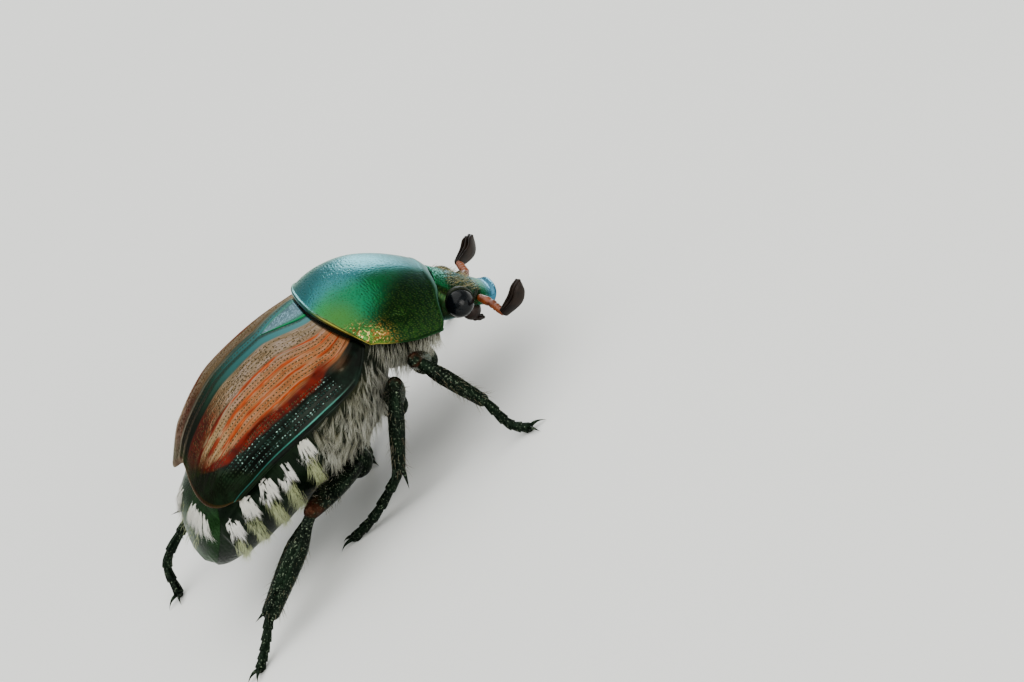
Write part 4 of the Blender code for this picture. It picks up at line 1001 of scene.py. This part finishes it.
def makeShin(place, word, hip, knee, ankle, sizes, draw):
    ahead = unit(ankle - knee)
    turn = unit(np.cross(knee - hip, ankle - knee))
    out = unit(np.cross(ahead, turn))
    start = knee + ahead * 0.2
    end = ankle - ahead * 0.16
    width = sizes["tibia"]
    profile = ((0.0, 0.32), (0.06, 0.34), (0.3, width * 0.88), (0.6, width), (1.0, width * 0.8))
    thick = ((0.0, 0.32), (0.06, 0.34), (0.35, sizes["tibiaThick"]), (1.0, sizes["tibiaThick"] * 0.8))
    pieces = [limbMesh("shin", (start, end), lambda t: smoothAt(profile, t), lambda t: smoothAt(thick, t), out,
                       110, 64, grooved)]
    for number in range(sizes["spines"]):
        for way in (-1.0, 1.0):
            t = (number + 1.0 + 0.3 * way + draw.uniform(-0.1, 0.1)) / (sizes["spines"] + 1.2)
            half = float(smoothAt(profile, t)) / 2
            tilt = turn * draw.uniform(-0.5, 0.5)
            root = start + (end - start) * t + out * way * half * 0.75 + tilt * 0.1
            length = legParts["spine"] * draw.uniform(0.7, 1.05)
            pieces.append(spikeMesh("spine", root, out * way * 0.8 + ahead + tilt * 0.4, ahead * 0.15, length,
                                    legParts["spineRadius"], 8, 5))
    if place == "front":
        for share, size in ((0.74, 0.8), (0.98, 1.0)):
            root = start + (end - start) * share - out * 0.1
            pieces.append(spikeMesh("tooth", root, -out + ahead * 0.8, ahead * 0.1, legParts["tooth"] * size,
                                    legParts["toothRadius"], 20, 10, 0.8))
    else:
        for way in (-1.0, 1.0):
            root = end + turn * 0.11 * way + out * 0.1
            pieces.append(spikeMesh("spur", root, ahead + out * 0.45 + turn * 0.3 * way, ahead * 0.1,
                                    legParts["spur"] * (1.0 + 0.12 * way), 0.07, 12, 8, 0.8))
    name = "tibia_" + place + "_" + word
    settle(name, joined(name, pieces), "leg", "dark_green", name)


def makeFoot(place, word, ankle, bend, foot):
    first = unit(bend - ankle)
    last = unit(foot - bend)
    points = (ankle + first * 0.02, bend, foot)
    flat = np.cross(upright, last)

    def beads(t):
        joint = np.clip(t, 0, 0.9999) * legParts["joints"] % 1.0
        return legParts["tarsus"] * (0.78 + 0.28 * joint ** 0.8 * stepUp(joint, 1.0, 0.93))

    pieces = [limbMesh("foot", points, beads, beads, flat, 130, 32)]
    level = unit(last * np.array([1.0, 1.0, 0.0]))
    across = np.cross(upright, level)
    for way in (-1.0, 1.0):
        root = foot + across * way * 0.06 + level * 0.05 + upright * 0.02
        pieces.append(spikeMesh("claw", root, level + across * way * 0.4 + upright * 0.4, upright * -0.55,
                                legParts["claw"], legParts["clawRadius"], 14, 12, 0.8))
    path = np.array(points, float)
    for number in range(1, legParts["joints"]):
        root = pathAt(path, np.array(number / legParts["joints"]))
        for way in (-1.0, 0.3, 1.0):
            side = flat * way + upright * -0.5
            pieces.append(spikeMesh("bristle", root, side * 0.7 + last, last * 0.1, 0.2, 0.022, 6, 3))
    name = "tarsus_" + place + "_" + word
    mesh = joined(name, pieces)
    cutMesh(mesh, np.array([0.0, 0.0, -body["rideHeight"]]), upright)
    settle(name, mesh, "leg", "dark_green", name)


for (place, word), joints in legs.items():
    hip, knee, ankle, bend, foot = mirrored(sides[word], joints)
    draw = random.Random(legParts["seed"] + len(place) * 2 + sides[word])
    makeThigh(place, word, hip, knee, legSizes[place])
    makeShin(place, word, hip, knee, ankle, legSizes[place], draw)
    makeFoot(place, word, ankle, bend, foot)
print("legs made")


# Hair: every hair is a thin bent cone; the whole coat of one place is one mesh
def hairMesh(name, roots, lies, sags, lengths, widths, places, shades):
    pattern = coneMesh("pattern", 3, 5, triangles=True)
    cone = meshPoints(pattern)
    corners = np.empty(len(pattern.loops), int)
    pattern.loops.foreach_get("vertex_index", corners)
    bpy.data.meshes.remove(pattern)
    count = len(roots)
    t = (cone[:, 2] + 0.5)[None, :, None]
    lies = unit(lies)
    across = unit(np.cross(lies, sags + np.array([1e-4, 2e-4, 3e-4])))
    over = np.cross(across, lies)
    taper = (0.75 + 1.6 * t * (1 - t)) * (1 - 0.35 * t)
    spread = across[:, None] * cone[None, :, 0:1] + over[:, None] * cone[None, :, 1:2]
    lengths = lengths[:, None, None]
    points = roots[:, None] + lies[:, None] * lengths * t + sags[:, None] * lengths * t * t
    points = points + spread * widths[:, None, None] * taper
    size = len(cone)
    whole = bpy.data.meshes.new(name)
    whole.vertices.add(count * size)
    whole.loops.add(count * len(corners))
    whole.polygons.add(count * len(corners) // 3)
    whole.loops.foreach_set("vertex_index", (corners[None] + size * np.arange(count)[:, None]).ravel())
    whole.polygons.foreach_set("loop_start", np.arange(0, count * len(corners), 3))
    setPoints(whole, toFrame(points.reshape(-1, 3)))
    whole.validate()
    strand = np.broadcast_to(cone[:, 2] + 0.5, (count, size)).ravel()
    mark(whole, "strand", strand)
    mark(whole, "shade", np.repeat(shades, size))
    turn = np.broadcast_to(cone[:, 0], (count, size)).ravel()
    u = np.repeat(places[:, 0], size) + (strand - 0.5) * 0.003
    v = np.repeat(places[:, 1], size) + turn * 0.0015
    mapVertices(whole, "OFBake", u, v)
    return whole


class Coat:
    # gathers the hairs of one place before they are made into one mesh
    def __init__(self, name, finish, slotName, span, middle):
        self.name = name
        self.finish = finish
        self.slotName = slotName
        self.span = span
        self.middle = middle
        self.rows = []

    def finishUp(self):
        roots, lies, sags, lengths, widths, shades = (np.concatenate(part) for part in zip(*self.rows))
        along = (roots[:, 1] - self.span[0]) / (self.span[1] - self.span[0])
        turn = (np.arctan2(roots[:, 2] - self.middle, roots[:, 0]) + math.pi) / (2 * math.pi)
        places = stacked(np.clip(0.02 + 0.96 * along, 0.01, 0.99), 0.02 + 0.96 * turn)
        mesh = hairMesh(self.name, roots, lies, sags, lengths, widths, places, shades)
        settle(self.name, mesh, self.finish, self.slotName, turnOut=False)
        print(self.name, len(roots), "hairs")


rng = np.random.default_rng(11)
hairShare = 1.0


def hairCount(number):
    return max(int(number * hairShare), 8)


def jittered(count, value):
    # a range is drawn for each hair, anything else is kept
    return rng.uniform(*value, count) if isinstance(value, tuple) else value


def outwards(out, axis, way):
    return np.where((out[:, axis] * way < 0)[:, None], -out, out)


def sideReach(drop):
    # how far out the side of the body lies, as a share, for a share of the way down
    return (1 - drop ** body["roundness"]) ** (1 / body["roundness"])


def flankPoints(side, y, z):
    _, waist, half, belly, _ = hindLengths(y)
    middle = y < 1.0
    if np.any(middle):
        waist, half, belly = (np.where(middle, front, rear) for front, rear in
                              zip(middleLengths(y)[1:4], (waist, half, belly)))
    return stacked(side * half * sideReach(np.clip((waist - z) / (waist - belly), 0.0, 1.0)), y, z)


def flankWays(side, y, z):
    # roots on the flank, with the outward, backward and downward directions there
    root = flankPoints(side, y, z)
    back = unit(flankPoints(side, y + 0.08, z) - root)
    down = unit(flankPoints(side, y, z - 0.08) - root)
    return root, outwards(unit(np.cross(back, down) * side), 0, side), back, down


def backPoints(side, y, across):
    top, waist, _, _, upper = hindLengths(y)
    rise = np.clip(1 - (across / upper) ** body["roundness"], 0, 1) ** (1 / body["roundness"])
    return stacked(side * across, y, waist + (top - waist) * rise)


def locked(locks, count, spread):
    # gathers hairs in locks: each hair's lock and its place in it
    return (rng.integers(0, locks, count), *(spread * rng.normal(0.0, 0.5, count) for _ in range(2)))


def lockPlaces(locks):
    # locks spread evenly along one way, and in golden steps along the other
    return np.linspace(-1, 1, locks), np.arange(locks) * 0.618 % 1.0


def combed(coat, root, out, lie, length, lift, sag, width, wild=0.18):
    # hairs lying along the given direction, lifted off the skin and a little untidy
    count = len(root)
    length, lift, width = (jittered(count, value) for value in (length, lift, width))
    clump = stacked(*(wavy(root[:, 1] + axis, root[:, 2], 0.28, 60 + axis) for axis in range(3)))
    loose = rng.normal(0.0, wild * 0.6, (count, 3)) + clump * wild * 1.6
    lies = unit(lie + out * lift[:, None] + loose)
    sags = -out * sag - np.array([0.0, 0.0, 0.1]) + rng.normal(0.0, 0.06, (count, 3))
    shade = np.clip(0.5 + 0.5 * wavy(root[:, 1], root[:, 2], 0.4, 65) + rng.normal(0.0, 0.2, count), 0.0, 1.0)
    coat.rows.append((root - out * 0.02, lies, sags, length, width, shade))


tuft = {
    "roots": ((1.22, 0.23), (2.07, 0.1), (2.73, 0.08), (3.47, 0.0), (4.18, -0.38)),
    "hairs": 700, "locks": 32, "spread": 0.045, "length": (0.36, 0.5), "width": (0.007, 0.011),
}
fringe = {"hairs": 300, "length": (0.4, 0.8), "lift": (0.3, 0.7), "width": (0.005, 0.007)}
down = {
    "hairs": 2400, "locks": 400, "spread": 0.055, "length": (0.4, 0.7), "width": (0.005, 0.008),
    "frontHairs": 600, "frontLength": (0.3, 0.6), "frontLift": (0.5, 0.9), "frontWidth": (0.006, 0.011),
}


def flankTufts(word, side):
    coat = Coat("tufts_" + word, "white", "dark_green", (-2.0, 6.0), -0.6)
    lockS, lockT = lockPlaces(tuft["locks"])
    for y, z in tuft["roots"]:
        count = hairCount(tuft["hairs"])
        lock, s, t = locked(tuft["locks"], count, tuft["spread"])
        ys = y + 0.15 * lockS[lock] + 0.05 * lockT[lock]
        zs = z - 0.34 * lockT[lock] + 0.08 * (1 - lockS[lock] ** 2)
        root, out, back, below = flankWays(side, ys + s, zs + t)
        lie = below + back * (0.34 + 0.32 * lockS + rng.normal(0.0, 0.1, tuft["locks"]))[lock][:, None]
        lie -= (back * s[:, None] - below * t[:, None]) * 1.8
        lift = (0.3 + rng.normal(0.0, 0.1, tuft["locks"]))[lock]
        length = jittered(count, tuft["length"]) * (0.8 + 0.4 * rng.uniform(0, 1, tuft["locks"]))[lock]
        combed(coat, root, out, lie, length, lift, 0.2, tuft["width"], 0.03)
    coat.finishUp()


def flankFringe(word, side):
    coat = Coat("fringe_" + word, "fringe", "dark_green", (-2.0, 6.0), -0.6)
    for y, z in tuft["roots"]:
        count = hairCount(fringe["hairs"])
        t = rng.uniform(0, 1, count) ** 0.8
        ys = y + 0.13 + rng.normal(0, 0.075, count) + 0.12 * t
        root, out, back, below = flankWays(side, ys, z - 0.36 - 1.2 * t)
        lie = below + back * (0.5 + rng.normal(0.0, 0.22, count))[:, None]
        combed(coat, root, out, lie, fringe["length"], fringe["lift"], 0.25, fringe["width"], 0.08)
    coat.finishUp()


def thoraxDown(word, side):
    coat = Coat("down_" + word, "down", "dark_green", (-5.0, 3.0), -0.6)
    count = hairCount(down["hairs"])
    lock, ys, zs = locked(down["locks"], count, down["spread"])
    lockY = rng.uniform(-1.75, 1.2, down["locks"])
    low = middleLengths(lockY)
    lockZ = low[1] - (low[1] - low[3]) * (0.05 + 0.85 * rng.uniform(0, 1, down["locks"]))
    root, out, back, below = flankWays(side, lockY[lock] + ys, lockZ[lock] + zs)
    lie = (back * 0.75 + below * 0.6) + rng.normal(0.0, 0.25, (down["locks"], 3))[lock]
    lie -= (back * ys[:, None] - below * zs[:, None]) * 1.2
    length = jittered(count, down["length"]) * rng.uniform(0.7, 1.2, down["locks"])[lock]
    lift = (0.42 + rng.normal(0.0, 0.18, down["locks"]))[lock]
    combed(coat, root, out, lie, length, lift, 0.25, down["width"], 0.08)
    count = hairCount(down["frontHairs"])
    ys = rng.uniform(-3.6, -1.95, count)
    _, waist, half, belly, _ = frontLengths(ys)
    drop = rng.uniform(0.0, 0.9, count)
    root = stacked(side * half * sideReach(drop), ys, waist - (waist - belly) * drop)
    out = unit(stacked(side * (1 - drop * 0.6), ys * 0 - 0.1, -drop))
    combed(coat, root, out, np.array([0.0, 0.8, -0.5]) + root * 0, down["frontLength"], down["frontLift"], 0.2,
           down["frontWidth"], 0.25)
    coat.finishUp()


for word, side in sides.items():
    flankTufts(word, side)
    flankFringe(word, side)
    thoraxDown(word, side)

tail = {
    "hairs": 1200, "locks": 46, "spread": 0.05, "length": (0.42, 0.6), "width": (0.007, 0.011),
    "single": 60, "singleLength": (0.25, 0.5), "singleLift": (0.6, 1.0), "singleWidth": (0.006, 0.009),
}
coat = Coat("tufts_tail", "white", "dark_green", (3.0, 6.5), -0.6)
lockS, lockT = lockPlaces(tail["locks"])
for side in sides.values():
    count = hairCount(tail["hairs"])
    lock, s, t = locked(tail["locks"], count, tail["spread"])
    across = 1.0 + 0.48 * lockS[lock] + s
    ys = 4.5 + 0.26 * lockT[lock] + 0.05 * (1 - lockS[lock] ** 2) + t
    root = backPoints(side, ys, across)
    lie = unit(backPoints(side, ys + 0.2, across + 0.03) - root)
    aside = unit(backPoints(side, ys, across + 0.06) - root)
    out = outwards(unit(np.cross(aside, lie)), 2, 1)
    lie = lie + aside * (0.2 * lockS + rng.normal(0.0, 0.14, tail["locks"]))[lock][:, None]
    lie -= aside * (s * 1.8)[:, None]
    length = jittered(count, tail["length"])
    lift = (0.3 + rng.normal(0.0, 0.1, tail["locks"]))[lock]
    combed(coat, root, out, lie, length, lift, 0.2, tail["width"], 0.03)
coat.finishUp()

coat = Coat("tail_hairs", "fringe", "dark_green", (3.0, 6.5), -0.6)
count = hairCount(tail["single"])
ys = rng.uniform(4.7, 5.4, count)
ways = np.where(rng.uniform(0, 1, count) > 0.5, 1.0, -1.0)
across = rng.uniform(0.05, 0.9, count) * np.minimum(hindLengths(ys)[4], 1.3)
root = backPoints(ways, ys, across)
out = unit(stacked(root[:, 0] * 0.3, ys * 0 + 0.8, ys * 0 + 0.6))
combed(coat, root, out, np.array([0.0, 0.4, -0.8]) + root * 0, tail["singleLength"], tail["singleLift"], 0.3,
       tail["singleWidth"])
coat.finishUp()

faceHair = {"hairs": 260, "length": (0.16, 0.34), "lift": (0.6, 1.3), "width": (0.005, 0.008)}
coat = Coat("face_hairs", "gold", "shell_green", (-6.0, -4.0), 0.0)
count = hairCount(faceHair["hairs"])
x = rng.uniform(-0.85, 0.85, count)
along = rng.uniform(0.3, 1.2, count)
root = facePoint(x, along, 0.02 + 0.12 * (np.abs(x) / 0.9) ** 3)
combed(coat, root, np.broadcast_to(faceOut, root.shape), faceDown + stacked(x * 0.3, x * 0, x * 0),
       faceHair["length"], faceHair["lift"], 0.2, faceHair["width"], 0.25)
coat.finishUp()

bristle = {"femur": 130, "tibia": 120, "length": (0.2, 0.42), "lift": (0.4, 0.8), "width": (0.006, 0.01)}
coat = Coat("leg_hairs", "bristle", "dark_green", (-5.0, 7.0), -1.5)
for (place, word), joints in legs.items():
    hip, knee, ankle, _, _ = mirrored(sides[word], joints)
    for start, end, limb in ((hip, knee, "femur"), (knee, ankle, "tibia")):
        count = hairCount(bristle[limb])
        t = rng.uniform(0.25, 0.95, count)
        ahead = unit(end - start)
        turn = rng.uniform(0, 2 * math.pi, count)
        first = unit(np.cross(ahead, upright))
        second = np.cross(first, ahead)
        out = first * np.cos(turn)[:, None] + second * np.sin(turn)[:, None]
        root = start + (end - start) * t[:, None] + out * legSizes[place][limb] / 2 * 0.72
        combed(coat, root, out, ahead + out * 0, bristle["length"], bristle["lift"], 0.1, bristle["width"])
coat.finishUp()
print("hair made")

# Floor, light and camera
shape = bmesh.new()
bmesh.ops.create_grid(shape, x_segments=60, y_segments=60, size=0.5)
floorMesh = meshOf("floor", shape)
floorFinish = Finish("floorPale", Roughness=0.75)
floorCloud = floorFinish.noise(60.0, 4.0)
floorFinish.show(Base_Color=floorFinish.blend(floorCloud, (0.86, 0.87, 0.84), (0.92, 0.92, 0.9)))
floorMesh.materials.append(floorFinish.material)
floor = placed("floor", floorMesh)

camera = {"azimuth": 23.0, "side": -0.731, "lift": -0.682, "target": (357, 347), "middle": (512, 341),
          "pixel": 1 / 36, "distance": 250.0}
tilt = math.radians(camera["azimuth"])
viewWay = Vector((math.cos(tilt), 0.0, -math.sin(tilt)))
viewUp = Vector((math.sin(tilt), 0.0, math.cos(tilt)))
rightWay = Vector((0.0, camera["side"], 0.0)) + viewUp * camera["lift"]
upWay = Vector((0.0, camera["lift"], 0.0)) - viewUp * camera["side"]
target = Vector((0.0, -1.639 - body["shiftY"], body["rideHeight"]))
centre = target + rightWay * (camera["middle"][0] - camera["target"][0]) * camera["pixel"]
centre += upWay * (camera["target"][1] - camera["middle"][1]) * camera["pixel"]
lens = bpy.data.cameras.new("camera")
lens.sensor_width = 36.0
lens.lens = camera["distance"] / (1024 * camera["pixel"]) * 36.0
lens.clip_start = 0.001
lens.clip_end = 2.0
viewer = placed("camera", lens)
turned = Matrix((rightWay, upWay, -viewWay)).transposed().to_4x4()
viewer.matrix_world = Matrix.Translation((centre - viewWay * camera["distance"]) * 0.001) @ turned
bpy.context.scene.camera = viewer

lamps = {
    "sky": ((0.22, -0.09, 0.045), 0.08, 0.14, (0.88, 0.95, 1.0)),
    "top": ((0.03, 0.02, 0.28), 0.62, 2.2, (1.0, 1.0, 0.98)),
    "fill": ((-0.2, -0.06, 0.05), 0.12, 0.3, (1.0, 0.98, 0.93)),
}
for name, (place, size, power, colour) in lamps.items():
    light = bpy.data.lights.new(name, "AREA")
    light.size = size
    light.energy = power
    light.color = colour
    lamp = placed(name, light)
    lamp.matrix_world = Matrix.Translation(place) @ Vector(place).to_track_quat("Z", "Y").to_matrix().to_4x4()

world = bpy.data.worlds.new("studio")
bpy.context.scene.world = world
world.use_nodes = True
backdrop = world.node_tree.nodes["Background"]
backdrop.inputs["Color"].default_value = (0.85, 0.87, 0.84, 1.0)
backdrop.inputs["Strength"].default_value = 0.5
